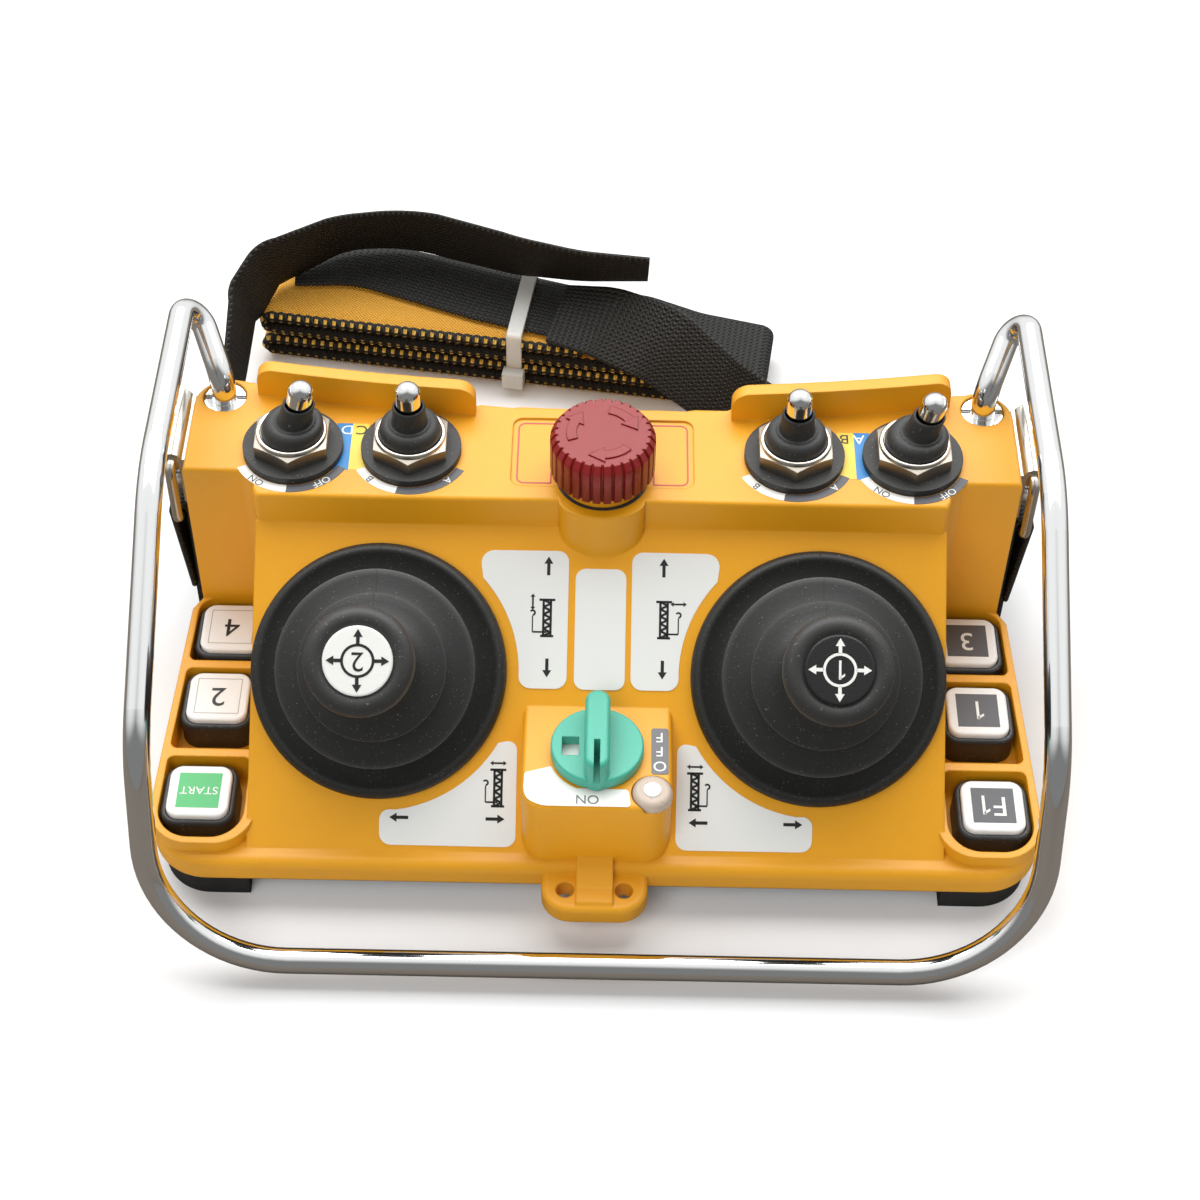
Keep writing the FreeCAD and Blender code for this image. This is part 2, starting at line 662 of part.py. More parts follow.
def lug():
    """Front fixing lug with the rib that ties it to the key block."""
    plate = box(-LUG_HALF_W, LUG_HALF_W, LUG_FRONT_Y, BASE_FRONT_Y + OVER, SEAM_Z - OVER, LUG_TOP_Z)
    plate = rounded(plate, LUG_CORNER_R, lambda e: is_upright(e) and e.Vertexes[0].Y < LUG_FRONT_Y + OVER)
    edge_r = FLANGE_EDGE_R / 2
    plate = rounded(plate, edge_r, lambda e: lies_at(e, LUG_TOP_Z) and e.CenterOfMass.y < BASE_FRONT_Y)
    rib = side_prism([
        (KEY_FRONT_Y + OVER, SEAM_Z), (KEY_FRONT_Y + OVER, FLANGE_Z + 2 * LUG_RIB_RISE),
        (KEY_FRONT_Y, FLANGE_Z + LUG_RIB_RISE), (BASE_FRONT_Y, FLANGE_Z + LUG_RIB_RISE / 2),
        (LUG_HOLE_Y, LUG_TOP_Z + LUG_RIB_RISE / 2),
        (LUG_FRONT_Y + LUG_RIB_RISE, LUG_TOP_Z + LUG_RIB_RISE / 2),
        (LUG_FRONT_Y, LUG_TOP_Z - LUG_RIB_RISE), (LUG_FRONT_Y, SEAM_Z - OVER),
    ], -LUG_RIB_HALF_W, LUG_RIB_HALF_W)
    solid = plate.fuse(rib)
    for x in (-LUG_HOLE_X, LUG_HOLE_X):
        solid = solid.cut(cylinder(LUG_HOLE_R, x, LUG_HOLE_Y, 0, TOP_Z))
    return solid


def stop_boss():
    """Bulge of the wall that carries the front of the emergency stop."""
    ellipse = Part.Ellipse(V(0, WALL_Y, SEAM_Z), BOSS_HALF_W, BOSS_DEPTH).toShape()
    return Part.Face(Part.Wire(ellipse)).extrude(V(0, 0, TOP_Z - SEAM_Z))


def stop_field():
    """Shallow field around the emergency stop, clear of its collar."""
    half = STOP_FIELD_HALF_W
    field = rounded_box(-half, half, *STOP_FIELD_Y, TOP_Z - STOP_FIELD_DEPTH, TOP_Z + OVER, STOP_FIELD_R)
    return field.cut(cylinder(STOP_COLLAR_R + STOP_FIELD_DEPTH, 0, STOP_Y, 0, TOP_Z + 2 * OVER))


def screw_places():
    return [(s * x, y) for x, y in HOUSING_SCREWS for s in (1, -1)]


def toggle_places():
    """Name and place of each toggle, with the lean of its lever at rest."""
    return {
        "left_outer": (-TOGGLE_OUTER_X, TOGGLE_LEAN),
        "left_inner": (-TOGGLE_INNER_X, 0.0),
        "right_inner": (TOGGLE_INNER_X, 0.0),
        "right_outer": (TOGGLE_OUTER_X, TOGGLE_LEAN),
    }


def housing_hollow():
    block = block_plan(WALL, SEAM_Z - OVER, TOP_Z - WALL)
    key = box(-KEY_HALF_W + WALL, KEY_HALF_W - WALL, KEY_FRONT_Y + WALL, 0, SEAM_Z - OVER, KEY_TOP_Z - WALL)
    low_floor = pocket_floor_z(BUTTON_Y[-1]) - POCKET_FLOOR
    hollows = [block, sloped_panel(WALL), key, base_plan(WALL, SEAM_Z - OVER, low_floor)]
    for (front, rear), y in zip(((RIB_REAR_Y, COLUMN_FRONT_Y), (RIB_FRONT_Y, RIB_REAR_Y)), BUTTON_Y):
        outer = wing_edge_x(min(rear, FLARE_Y)) - WALL
        ceiling = pocket_floor_z(y) - POCKET_FLOOR
        room = box(PANEL_HALF_W, outer, front + WALL / 2, rear - WALL / 2, SEAM_Z - OVER, ceiling)
        hollows += both_sides(room)
    return fuse(hollows)


def upper_housing():
    outer = [rear_block(), sloped_panel(0), key_block(), lug(), stop_boss()]
    flange = base_plan(0, SEAM_Z, FLANGE_Z)
    outer.append(rounded(
        flange, FLANGE_EDGE_R, lambda e: lies_at(e, FLANGE_Z) and e.CenterOfMass.y < FRONT_TAPER_Y))
    outer += both_sides(wing()) + both_sides(fin())
    shell = fuse(outer).cut(housing_hollow())
    inside = []
    for x in (-SOCKET_X, SOCKET_X):
        inside.append(cylinder(SOCKET_BOSS_R, x, socket_y(), TOP_Z - SOCKET_BORE - WALL, TOP_Z - TOP_EDGE_R))
    boss_room = fuse([block_plan(WALL / 2, SEAM_Z, TOP_Z - WALL / 2), sloped_panel(WALL / 2)])
    for x, y in screw_places():
        inside.append(cylinder(SCREW_BOSS_R, x, y, SEAM_Z, SEAM_Z + 2 * SCREW_GRIP))
    shell = fuse([shell] + [piece.common(boss_room) for piece in inside])
    holes = [stop_field(), cylinder(STOP_BUSH_R + FIT, 0, STOP_Y, STOP_BLOCK_Z, TOP_Z + OVER)]
    for cutter in pockets():
        holes += both_sides(cutter)
    for x, lean in toggle_places().values():
        holes.append(cylinder(TOGGLE_BUSH_R + FIT, x, TOGGLE_Y, TOP_Z - 2 * WALL, TOP_Z + OVER))
    for side in (-1, 1):
        holes.append(on_panel(cylinder(JOY_HOLE_R, 0, 0, -2 * WALL, OVER), side * JOY_X))
        holes.append(cylinder(ROD_R + FIT, side * SOCKET_X, socket_y(), TOP_Z - SOCKET_BORE, TOP_Z + OVER))
        holes.append(cylinder(SOCKET_R, side * SOCKET_X, socket_y(), TOP_Z - SOCKET_DEPTH, TOP_Z + OVER))
        for y in BRACKET_SCREW_Y:
            start = V(side * (BLOCK_HALF_W - BRACKET_SCREW_LENGTH), y, BRACKET_SCREW_Z)
            holes.append(Part.makeCylinder(SCREW_R + FIT, BRACKET_SCREW_LENGTH + OVER, start, V(side, 0, 0)))
        for x, y in zip(BUTTON_X, BUTTON_Y):
            holes.append(cylinder(BUTTON_STEM_R + FIT, side * x, y, SEAM_Z - OVER, WING_REAR_Z))
    for x, y in screw_places():
        holes.append(cylinder(SCREW_R + FIT, x, y, SEAM_Z - OVER, SEAM_Z + SCREW_GRIP + SEAT_FIT))
    holes.append(cylinder(KEY_SHAFT_R + FIT, 0, KEY_Y, KEY_TOP_Z - 2 * WALL, KEY_TOP_Z + OVER))
    holes.append(lens_notch())
    holes.append(cylinder(LENS_TUBE_R + FIT, LENS_X, LENS_Y, KEY_TOP_Z - 3 * WALL, KEY_TOP_Z))
    return shell.cut(fuse(holes))


def lens_notch():
    """Lowered corner of the key block where the lens sits."""
    seat = KEY_TOP_Z - LENS_SEAT
    round_part = cylinder(LENS_R + SEAT_FIT, LENS_X, LENS_Y, seat, KEY_TOP_Z + OVER)
    corner = box(LENS_X, KEY_HALF_W + OVER, KEY_FRONT_Y - OVER, LENS_Y, seat, KEY_TOP_Z + OVER)
    return round_part.fuse(corner)


def cover_slope(wall, floor, rise):
    """Wedge along the lower front edge, between the front feet."""
    slope = COVER_BEVEL_H / COVER_BEVEL_D
    corner = BASE_FRONT_Y + COVER_INSET + wall - OVER
    section = [
        (corner, floor - OVER), (corner, floor + rise + slope * OVER),
        (corner + OVER + (rise + OVER) / slope, floor - OVER),
    ]
    return side_prism(section, -PANEL_HALF_W, PANEL_HALF_W)


def bottom_cover():
    tray = base_plan(COVER_INSET, 0, COVER_TOP_Z)
    tray = tray.cut(base_plan(COVER_INSET + COVER_WALL, COVER_FLOOR, COVER_TOP_Z + OVER))
    well_half = WELL_HALF_W + WELL_WALL
    well = box(-well_half, well_half, WELL_Y[0] - WELL_WALL, WELL_Y[1] + WELL_WALL, 0, WELL_TOP_Z)
    added = [tray, well, cover_slope(COVER_WALL, COVER_FLOOR, COVER_BEVEL_H / 2)]
    for x, y in screw_places():
        added.append(cylinder(SCREW_BOSS_R, x, y, 0, COVER_TOP_Z))
    post_x = WELL_HALF_W - MAIN_POST_IN
    for y in MAIN_POST_Y:
        added += both_sides(cylinder(MAIN_POST_R, post_x, y, WELL_TOP_Z - WELL_WALL, MAIN_BOARD_Z))
    for x in (-DOOR_SCREW_X, DOOR_SCREW_X):
        added.append(cylinder(SCREW_BOSS_R, x, WELL_MIDDLE_Y, 0, DOOR_SCREW_LENGTH + COVER_FLOOR))
    for x in BUTTON_BOARD_X:
        for y in BUTTON_BOARD_Y:
            inward = math.copysign(MAIN_POST_R, sum(BUTTON_BOARD_Y) / 2 - y)
            aside = math.copysign(MAIN_POST_R, sum(BUTTON_BOARD_X) / 2 - x)
            added += both_sides(cylinder(MAIN_POST_R / 2, x + aside, y + inward, 0, BUTTON_BOARD_Z))
    solid = fuse(added)
    cuts = [box(-WELL_HALF_W, WELL_HALF_W, *WELL_Y, -OVER, WELL_TOP_Z - WELL_WALL), door_plate(SEAT_FIT)]
    cuts.append(cover_slope(0, 0, COVER_BEVEL_H))
    for x, y in screw_places():
        cuts.append(cylinder(SCREW_R + FIT, x, y, -OVER, COVER_TOP_Z + OVER))
        cuts.append(cylinder(SCREW_HEAD_R + SEAT_FIT, x, y, -OVER, SCREW_HEAD_H + SEAT_FIT))
    for x in (-DOOR_SCREW_X, DOOR_SCREW_X):
        cuts.append(cylinder(SCREW_R + FIT, x, WELL_MIDDLE_Y, -OVER, DOOR_SCREW_LENGTH + SEAT_FIT))
    for x, y in FOOT_XY:
        cuts += both_sides(cylinder(FOOT_R + FIT, x, y, -OVER, FOOT_T))
    return solid.cut(fuse(cuts))


def door_plate(grow):
    half = WELL_HALF_W + DOOR_LIP + grow
    front, rear = WELL_Y[0] - DOOR_EDGE - grow, WELL_Y[1] + DOOR_EDGE + grow
    return rounded_box(-half, half, front, rear, 0, DOOR_T + (OVER / 2 if grow else 0), DOOR_EDGE)


def battery_door():
    plate = door_plate(0)
    ribs = box(-WELL_HALF_W + SEAT_FIT, WELL_HALF_W - SEAT_FIT, WELL_Y[0] + SEAT_FIT, WELL_Y[1] - SEAT_FIT,
               DOOR_T, COVER_FLOOR)
    hollow = box(-WELL_HALF_W + WELL_WALL, WELL_HALF_W - WELL_WALL, WELL_Y[0] + WELL_WALL,
                 WELL_Y[1] - WELL_WALL, DOOR_T, COVER_FLOOR + OVER)
    solid = plate.fuse(ribs.cut(hollow))
    for x in (-DOOR_SCREW_X, DOOR_SCREW_X):
        solid = solid.cut(countersunk(FIT).translated(V(x, WELL_MIDDLE_Y, 0)))
    return solid


def housing_gasket():
    ring = base_plan(COVER_INSET, COVER_TOP_Z, SEAM_Z)
    return ring.cut(base_plan(COVER_INSET + GASKET_W, COVER_TOP_Z - OVER, SEAM_Z + OVER))


def rubber_feet():
    feet = [cylinder(FOOT_R, x, y, 0, FOOT_T) for x, y in FOOT_XY]
    return Part.makeCompound(feet + [mirrored(foot) for foot in feet])


def screw(length):
    """Pan head screw, its head on Z = 0 and its shank upwards."""
    head = cylinder(SCREW_HEAD_R, 0, 0, 0, SCREW_HEAD_H)
    drive = box(-SCREW_HEAD_R, SCREW_HEAD_R, -SCREW_SLOT / 2, SCREW_SLOT / 2, -OVER, SCREW_HEAD_H / 2)
    return head.cut(drive).fuse(cylinder(SCREW_R, 0, 0, SCREW_HEAD_H, SCREW_HEAD_H + length))


def countersunk(grow):
    """Countersunk screw of the battery door, or its hole when grown."""
    head, shank = SCREW_HEAD_R + grow, SCREW_R + grow
    end = DOOR_SCREW_LENGTH
    return turned([(0, 0), (head, 0), (shank, DOOR_SCREW_HEAD), (shank, end), (0, end)])


def fasteners():
    """Screws of the cover, the battery door and the strap brackets."""
    placed = []
    for x, y in screw_places():
        placed.append(screw(SEAM_Z + SCREW_GRIP - SCREW_HEAD_H - SEAT_FIT).translated(V(x, y, 0)))
    for x in (-DOOR_SCREW_X, DOOR_SCREW_X):
        placed.append(countersunk(0).translated(V(x, WELL_MIDDLE_Y, 0)))
    sideways = {1: FreeCAD.Rotation(V(0, 1, 0), -90), -1: FreeCAD.Rotation(V(0, 1, 0), 90)}
    seat = BLOCK_HALF_W + BRACKET_T + SCREW_HEAD_H
    for side, turn in sideways.items():
        for y in BRACKET_SCREW_Y:
            place = FreeCAD.Placement(V(side * seat, y, BRACKET_SCREW_Z), turn)
            length = BRACKET_T + BRACKET_SCREW_LENGTH - SEAT_FIT
            placed.append(screw(length).transformed(place.toMatrix()))
    return Part.makeCompound(placed)


def battery_cells():
    """Two rows of two cells lying along X."""
    body = Part.makeCylinder(CELL_R, CELL_LENGTH - CELL_NUB, V(0, 0, 0), V(1, 0, 0))
    nub = Part.makeCylinder(CELL_NUB_R, CELL_NUB, V(CELL_LENGTH - CELL_NUB, 0, 0), V(1, 0, 0))
    cell = body.fuse(nub)
    step = CELL_R + CELL_GAP / 2
    placed = []
    for y in (WELL_MIDDLE_Y - step, WELL_MIDDLE_Y + step):
        placed.append(cell.translated(V(CELL_GAP / 2, y, CELL_Z)))
        placed.append(cell.translated(V(-CELL_GAP / 2 - CELL_LENGTH, y, CELL_Z)))
    return Part.makeCompound(placed)


def battery_contacts():
    """Sprung end plates of the battery well."""
    step = CELL_R + CELL_GAP / 2
    half = CONTACT_SIZE / 2
    placed = []
    for y in (WELL_MIDDLE_Y - step, WELL_MIDDLE_Y + step):
        plate = box(WELL_HALF_W - CONTACT_T, WELL_HALF_W, y - half, y + half, CELL_Z - half, CELL_Z + half)
        reach = WELL_HALF_W - CELL_GAP / 2 - CELL_LENGTH - SEAT_FIT
        button = Part.makeCylinder(CELL_NUB_R, reach, V(WELL_HALF_W - reach, y, CELL_Z), V(1, 0, 0))
        placed += both_sides(plate.fuse(button))
    return Part.makeCompound(placed)


def main_board():
    board = box(-MAIN_BOARD_X, MAIN_BOARD_X, *MAIN_BOARD_Y, MAIN_BOARD_Z, MAIN_BOARD_Z + BOARD_T)
    chip = box(-CHIP_W / 2, CHIP_W / 2, *CHIP_Y, MAIN_BOARD_Z, MAIN_BOARD_Z + BOARD_T + CHIP_H)
    return board.fuse(chip)


def radio_module():
    """Shielded transmitter with a helical antenna, on the main board."""
    length, width, height = RADIO_SIZE
    base = MAIN_BOARD_Z + BOARD_T
    middle = sum(MAIN_BOARD_Y) / 2
    can = box(RADIO_X, RADIO_X + length, middle - width / 2, middle + width / 2, base, base + height)
    antenna = cylinder(ANTENNA_R, RADIO_X + length * 0.75, middle, base + height, base + height + ANTENNA_H)
    return can.fuse(antenna)


def button_boards():
    """One board with three dome switches under each wing."""
    board = box(*BUTTON_BOARD_X, *BUTTON_BOARD_Y, BUTTON_BOARD_Z, BUTTON_BOARD_Z + BOARD_T)
    half = SWITCH_W / 2
    top = BUTTON_BOARD_Z + BOARD_T + SWITCH_H
    switches = []
    for x, y in zip(BUTTON_X, BUTTON_Y):
        switches.append(box(x - half, x + half, y - half, y + half, BUTTON_BOARD_Z, top))
    return Part.makeCompound(both_sides(fuse([board] + switches)))


def button_stem_bottom():
    return BUTTON_BOARD_Z + BOARD_T + SWITCH_H + BUTTON_TRAVEL + SEAT_FIT


def button_cap(index, side):
    """White cap on its stem; index counts from the rear."""
    x, y = BUTTON_X[index], BUTTON_Y[index]
    top = pocket_floor_z(y) + BUTTON_H
    half = BUTTON_CAP / 2
    cap = rounded_box(x - half, x + half, y - half, y + half, top - BUTTON_CAP_T, top, BUTTON_CAP_R)
    cap = rounded(cap, BUTTON_EDGE_R, lambda e: lies_at(e, top))
    solid = cap.fuse(cylinder(BUTTON_STEM_R, x, y, button_stem_bottom(), top - BUTTON_CAP_T))
    return solid if side > 0 else mirrored(solid)


def button_sleeves():
    """Rubber sleeves standing on the pocket floors."""
    placed = []
    half = BUTTON_SLEEVE / 2
    hole = BUTTON_CAP / 2 + BUTTON_GAP
    for x, y in zip(BUTTON_X, BUTTON_Y):
        floor = pocket_floor_z(y)
        top = floor + BUTTON_H - BUTTON_PROUD
        solid = rounded_box(x - half, x + half, y - half, y + half, floor, top, BUTTON_SLEEVE_R)
        solid = rounded(solid, BUTTON_SLEEVE_EDGE_R, lambda e: lies_at(e, top))
        room = rounded_box(x - hole, x + hole, y - hole, y + hole, floor - OVER, top + OVER, BUTTON_CAP_R)
        placed += both_sides(solid.cut(room))
    return Part.makeCompound(placed)


def handle_bar():
    right = [
        V(SOCKET_X, socket_y(), TOP_Z - SOCKET_BORE + SEAT_FIT),
        V(SOCKET_X, socket_y(), POST_TOP_Z),
        V(RAIL_X, *REAR_BEND),
        V(RAIL_X, *CREST),
        V(RAIL_X, *LEG_BEND),
        V(RAIL_X, *FRONT_RAIL),
    ]
    left = [V(-p.x, p.y, p.z) for p in reversed(right)]
    radii = [POST_BEND_R, REAR_BEND_R, CREST_R, LEG_BEND_R, FRONT_BEND_R]
    return rod(right + left, radii + radii[::-1], ROD_R)


def handle_ring_nuts():
    """Slotted ring nut in each handle socket."""
    seat = TOP_Z - SOCKET_DEPTH
    nut = tube(SOCKET_R - SEAT_FIT, ROD_R + FIT, SOCKET_X, socket_y(), seat, seat + RING_NUT_T)
    half = RING_NUT_SLOT / 2
    slot = box(-SOCKET_R, SOCKET_R, -half, half, seat + RING_NUT_T / 2, seat + 2 * RING_NUT_T)
    return Part.makeCompound(both_sides(nut.cut(slot.translated(V(SOCKET_X, socket_y(), 0)))))


def strap_brackets():
    """Plate with a rolled barrel on each side of the rear block."""
    plate = box(BLOCK_HALF_W, BLOCK_HALF_W + BRACKET_T, *BRACKET_Y, BRACKET_Z[0], RING_AXIS_Z)
    length = BRACKET_Y[1] - BRACKET_Y[0]
    start = V(RING_AXIS_X, BRACKET_Y[0], RING_AXIS_Z)
    barrel = Part.makeCylinder(BARREL_R, length, start, V(0, 1, 0))
    bridge = box(BLOCK_HALF_W, RING_AXIS_X, *BRACKET_Y, RING_AXIS_Z - BRACKET_T, RING_AXIS_Z + BRACKET_T / 2)
    solid = fuse([plate, barrel, bridge])
    bore_start = start - V(0, OVER, 0)
    solid = solid.cut(Part.makeCylinder(RING_WIRE_R + FIT, length + 2 * OVER, bore_start, V(0, 1, 0)))
    for y in BRACKET_SCREW_Y:
        hole_start = V(BLOCK_HALF_W - OVER, y, BRACKET_SCREW_Z)
        solid = solid.cut(Part.makeCylinder(SCREW_R + FIT, BRACKET_T + 2 * OVER, hole_start, V(1, 0, 0)))
    return Part.makeCompound(both_sides(solid))


def d_ring():
    """Right wire ring, hanging from its barrel."""
    middle = sum(RING_Y) / 2
    low = RING_AXIS_Z - RING_DROP
    halves = []
    for y in RING_Y:
        points = [(middle, RING_AXIS_Z), (y, RING_AXIS_Z), (y, low), (middle, low)]
        path = [V(RING_AXIS_X, *point) for point in points]
        halves.append(rod(path, [RING_TOP_CORNER_R, RING_LOW_CORNER_R], RING_WIRE_R))
    return fuse(halves)


def strap_loop():
    """Right webbing loop, folded over the ring's lower bar."""
    fold = RING_WIRE_R + SEAT_FIT + WEB_T / 2
    top = RING_AXIS_Z - RING_DROP + fold
    middle = sum(RING_Y) / 2
    inner, outer = RING_AXIS_X - fold, RING_AXIS_X + fold
    front = middle - WEB_W / 2
    path = [V(inner, front, LOOP_BOTTOM_Z), V(inner, front, top)]
    path += [V(outer, front, top), V(inner + WEB_T + LOOP_GAP, front, LOOP_BOTTOM_Z)]
    return ribbon(path, [fold, fold * 0.9], WEB_T, V(0, WEB_W, 0))


def strap_webbing():
    """Both runs standing on edge behind the box, and the tail folded over the pad."""
    rise = V(0, 0, WEB_W)
    left_points = [(-RUN_START_X, RUN_START_Y), *LEFT_RUN]
    right_points = [(RUN_START_X, RUN_START_Y), *RIGHT_RUN]
    left = ribbon([V(x, y, WEB_LIFT) for x, y in left_points], LEFT_RUN_R, WEB_T, rise)
    right = ribbon([V(x, y, WEB_LIFT) for x, y in right_points], RIGHT_RUN_R, WEB_T, rise)
    path = [V(x, -WEB_W / 2, z) for x, z in FOLD_PATH]
    fold = ribbon(path, FOLD_R, WEB_T, V(0, WEB_W, 0))
    return Part.makeCompound([left, right, on_table(fold)])


def on_table(solid):
    """Place a solid built about the middle of the folded pad."""
    turn = FreeCAD.Rotation(V(0, 0, 1), PAD_TURN)
    return solid.transformed(FreeCAD.Placement(V(*PAD_CENTRE, 0), turn).toMatrix())


def strap_pad():
    """Padded strap folded back and forth into a flat stack."""
    pitch = PAD_T + PAD_GAP
    level = [PAD_LIFT + PAD_T / 2 + k * pitch for k in range(PAD_LAYERS)]
    low, middle, high = PAD_RIGHT_X
    ends = [low, PAD_LEFT_X, PAD_LEFT_X, middle, middle, PAD_LEFT_X, PAD_LEFT_X, high]
    levels = [z for z in level for k in range(2)]
    path = [V(x, -PAD_W / 2, z) for x, z in zip(ends, levels)]
    radii = [pitch / 2 for corner in path[1:-1]]
    return on_table(ribbon(path, radii, PAD_T, V(0, PAD_W, 0)))


def cable_tie():
    """Plastic tie closed around the folded stack."""
    half = PAD_W / 2 + TIE_GAP
    end = TIE_X + TIE_W
    over = half + TIE_T
    outer = rounded_tunnel(TIE_X, end, -over, over, TIE_LIFT, TIE_TOP_Z + TIE_T, TIE_R + TIE_T)
    inner = rounded_tunnel(TIE_X - OVER, end + OVER, -half, half, TIE_LIFT + TIE_T, TIE_TOP_Z, TIE_R)
    length, depth, height = TIE_HEAD
    start = TIE_X + (TIE_W - length) / 2
    head = box(start, start + length, -half - depth, -half - TIE_T / 2, TIE_HEAD_Z, TIE_HEAD_Z + height)
    return on_table(outer.cut(inner).fuse(head))


def rounded_tunnel(x0, x1, y0, y1, z0, z1, radius):
    """Box with its long edges along X rounded."""
    def runs_along_x(edge):
        return abs(edge.Vertexes[0].X - edge.Vertexes[-1].X) > (x1 - x0) / 2
    return rounded(box(x0, x1, y0, y1, z0, z1), radius, runs_along_x)


def joystick_frame():
    """Plate under the panel with the two cheeks that carry the yoke."""
    top = -WALL
    low = top - JOY_PLATE_T
    half = JOY_PLATE / 2
    plate = box(-half, half, -half, half, low, top)
    opening = box(-JOY_CHEEK_IN, JOY_CHEEK_IN, -JOY_OPENING / 2, JOY_OPENING / 2, low - OVER, top + OVER)
    cheek = box(JOY_CHEEK_IN, JOY_CHEEK_IN + JOY_CHEEK_T, -JOY_CHEEK_W / 2, JOY_CHEEK_W / 2,
                -JOY_PIVOT - JOY_CHEEK_BELOW, top)
    hole = Part.makeCylinder(JOY_YOKE_PIN_R + FIT, JOY_PLATE, V(-half, 0, -JOY_PIVOT), V(1, 0, 0))
    return fuse([plate.cut(opening)] + both_sides(cheek)).cut(hole)


def joystick_yoke():
    """Gimbal ring turning about X, with the bores of the stick's pins."""
    length, width, height = JOY_YOKE
    window_x, window_y = JOY_YOKE_WINDOW
    ring = box(-length / 2, length / 2, -width / 2, width / 2, -height / 2, height / 2)
    window = box(-window_x / 2, window_x / 2, -window_y / 2, window_y / 2, -height, height)
    reach = JOY_CHEEK_IN + JOY_CHEEK_T
    pin = Part.makeCylinder(JOY_YOKE_PIN_R, reach - length / 2 + OVER, V(length / 2 - OVER, 0, 0), V(1, 0, 0))
    bore = Part.makeCylinder(JOY_STICK_PIN_R + FIT, 2 * width, V(0, -width, 0), V(0, 1, 0))
    return fuse([ring.cut(window)] + both_sides(pin)).cut(bore).translated(V(0, 0, -JOY_PIVOT))


def joystick_stick():
    """Hub with its two pins, shaft upwards and sensor tail below."""
    length, width, height = JOY_HUB
    hub = box(-length / 2, length / 2, -width / 2, width / 2, -height / 2, height / 2)
    pin_end = JOY_YOKE[1] / 2 - SEAT_FIT
    pins = Part.makeCylinder(JOY_STICK_PIN_R, 2 * pin_end, V(0, -pin_end, 0), V(0, 1, 0))
    shaft = cylinder(JOY_SHAFT_R, 0, 0, 0, JOY_PIVOT + JOY_KNOB_BASE + JOY_KNOB_BORE - SEAT_FIT)
    tail = cylinder(JOY_TAIL_R, 0, 0, -JOY_TAIL, 0)
    return fuse([hub, pins, shaft, tail]).translated(V(0, 0, -JOY_PIVOT))


def joystick_knob():
    top, base = JOY_KNOB_TOP, JOY_KNOB_BASE
    profile = [(JOY_SHAFT_R + FIT, base), (JOY_NECK_R, base)]
    profile += JOY_KNOB_SHAPE
    seat_r, seat = JOY_INSERT_R + FIT, top - JOY_INSERT_SEAT
    profile += [(seat_r, top), (seat_r, seat), (0, seat)]
    profile += [(0, base + JOY_KNOB_BORE), (JOY_SHAFT_R + FIT, base + JOY_KNOB_BORE)]
    return turned(profile)


def joystick_insert():
    base = JOY_KNOB_TOP - JOY_INSERT_SEAT
    disc = cylinder(JOY_INSERT_R, 0, 0, base, base + JOY_INSERT_T)
    return rounded(disc, JOY_INSERT_T / 2, lambda e: lies_at(e, base + JOY_INSERT_T))


def joystick_boot():
    """Rubber bellows between the panel and the knob."""
    inner = [(r - JOY_BOOT_WALL, z) for r, z in reversed(JOY_BOOT)]
    return turned(list(JOY_BOOT) + inner)


def toggle_body(x):
    """Switch block under the top with its threaded bush."""
    length, width, height = TOGGLE_BODY
    under = TOP_Z - WALL
    front, rear = TOGGLE_Y - width / 2, TOGGLE_Y + width / 2
    block = box(x - length / 2, x + length / 2, front, rear, under - height, under)
    bush = cylinder(TOGGLE_BUSH_R, x, TOGGLE_Y, under - OVER, TOP_Z + TOGGLE_BUSH_H)
    pivot = TOP_Z + TOGGLE_PIVOT_H
    foot = pivot - TOGGLE_TAIL - TOGGLE_BALL_R
    bore = cylinder(TOGGLE_BALL_R + FIT, x, TOGGLE_Y, foot, TOP_Z + TOGGLE_BUSH_H + OVER)
    seat = toggle_pin(TOGGLE_PIN_R + FIT, SEAT_FIT).translated(V(x, TOGGLE_Y, pivot))
    return block.fuse(bush).cut(bore).cut(seat)


def toggle_pin(radius, longer):
    """Pin along Y through the lever's ball, or its seat in the bush."""
    half = TOGGLE_PIN_HALF + longer
    return Part.makeCylinder(radius, 2 * half, V(0, -half, 0), V(0, 1, 0))


def toggle_washer(x):
    return tube(TOGGLE_WASHER_R, TOGGLE_BUSH_R + FIT, x, TOGGLE_Y, TOP_Z, TOP_Z + TOGGLE_WASHER_T)


def toggle_nut(x):
    """Hex nut with chamfered corners."""
    base = TOP_Z + TOGGLE_WASHER_T
    top = base + TOGGLE_NUT_H
    corner = TOGGLE_NUT_AF / math.sqrt(3)
    turns = [(k + 0.5) * math.pi / 3 for k in range(6)]
    points = [(x + corner * math.cos(turn), TOGGLE_Y + corner * math.sin(turn)) for turn in turns]
    flat_r = TOGGLE_NUT_AF / 2 - TOGGLE_NUT_BEVEL
    bevel = [(0, base), (corner, base), (corner, top - TOGGLE_NUT_BEVEL), (flat_r, top), (0, top)]
    solid = prism(points, base, top).common(turned(bevel).translated(V(x, TOGGLE_Y, 0)))
    return solid.cut(cylinder(TOGGLE_BUSH_R + FIT, x, TOGGLE_Y, base - OVER, top + OVER))


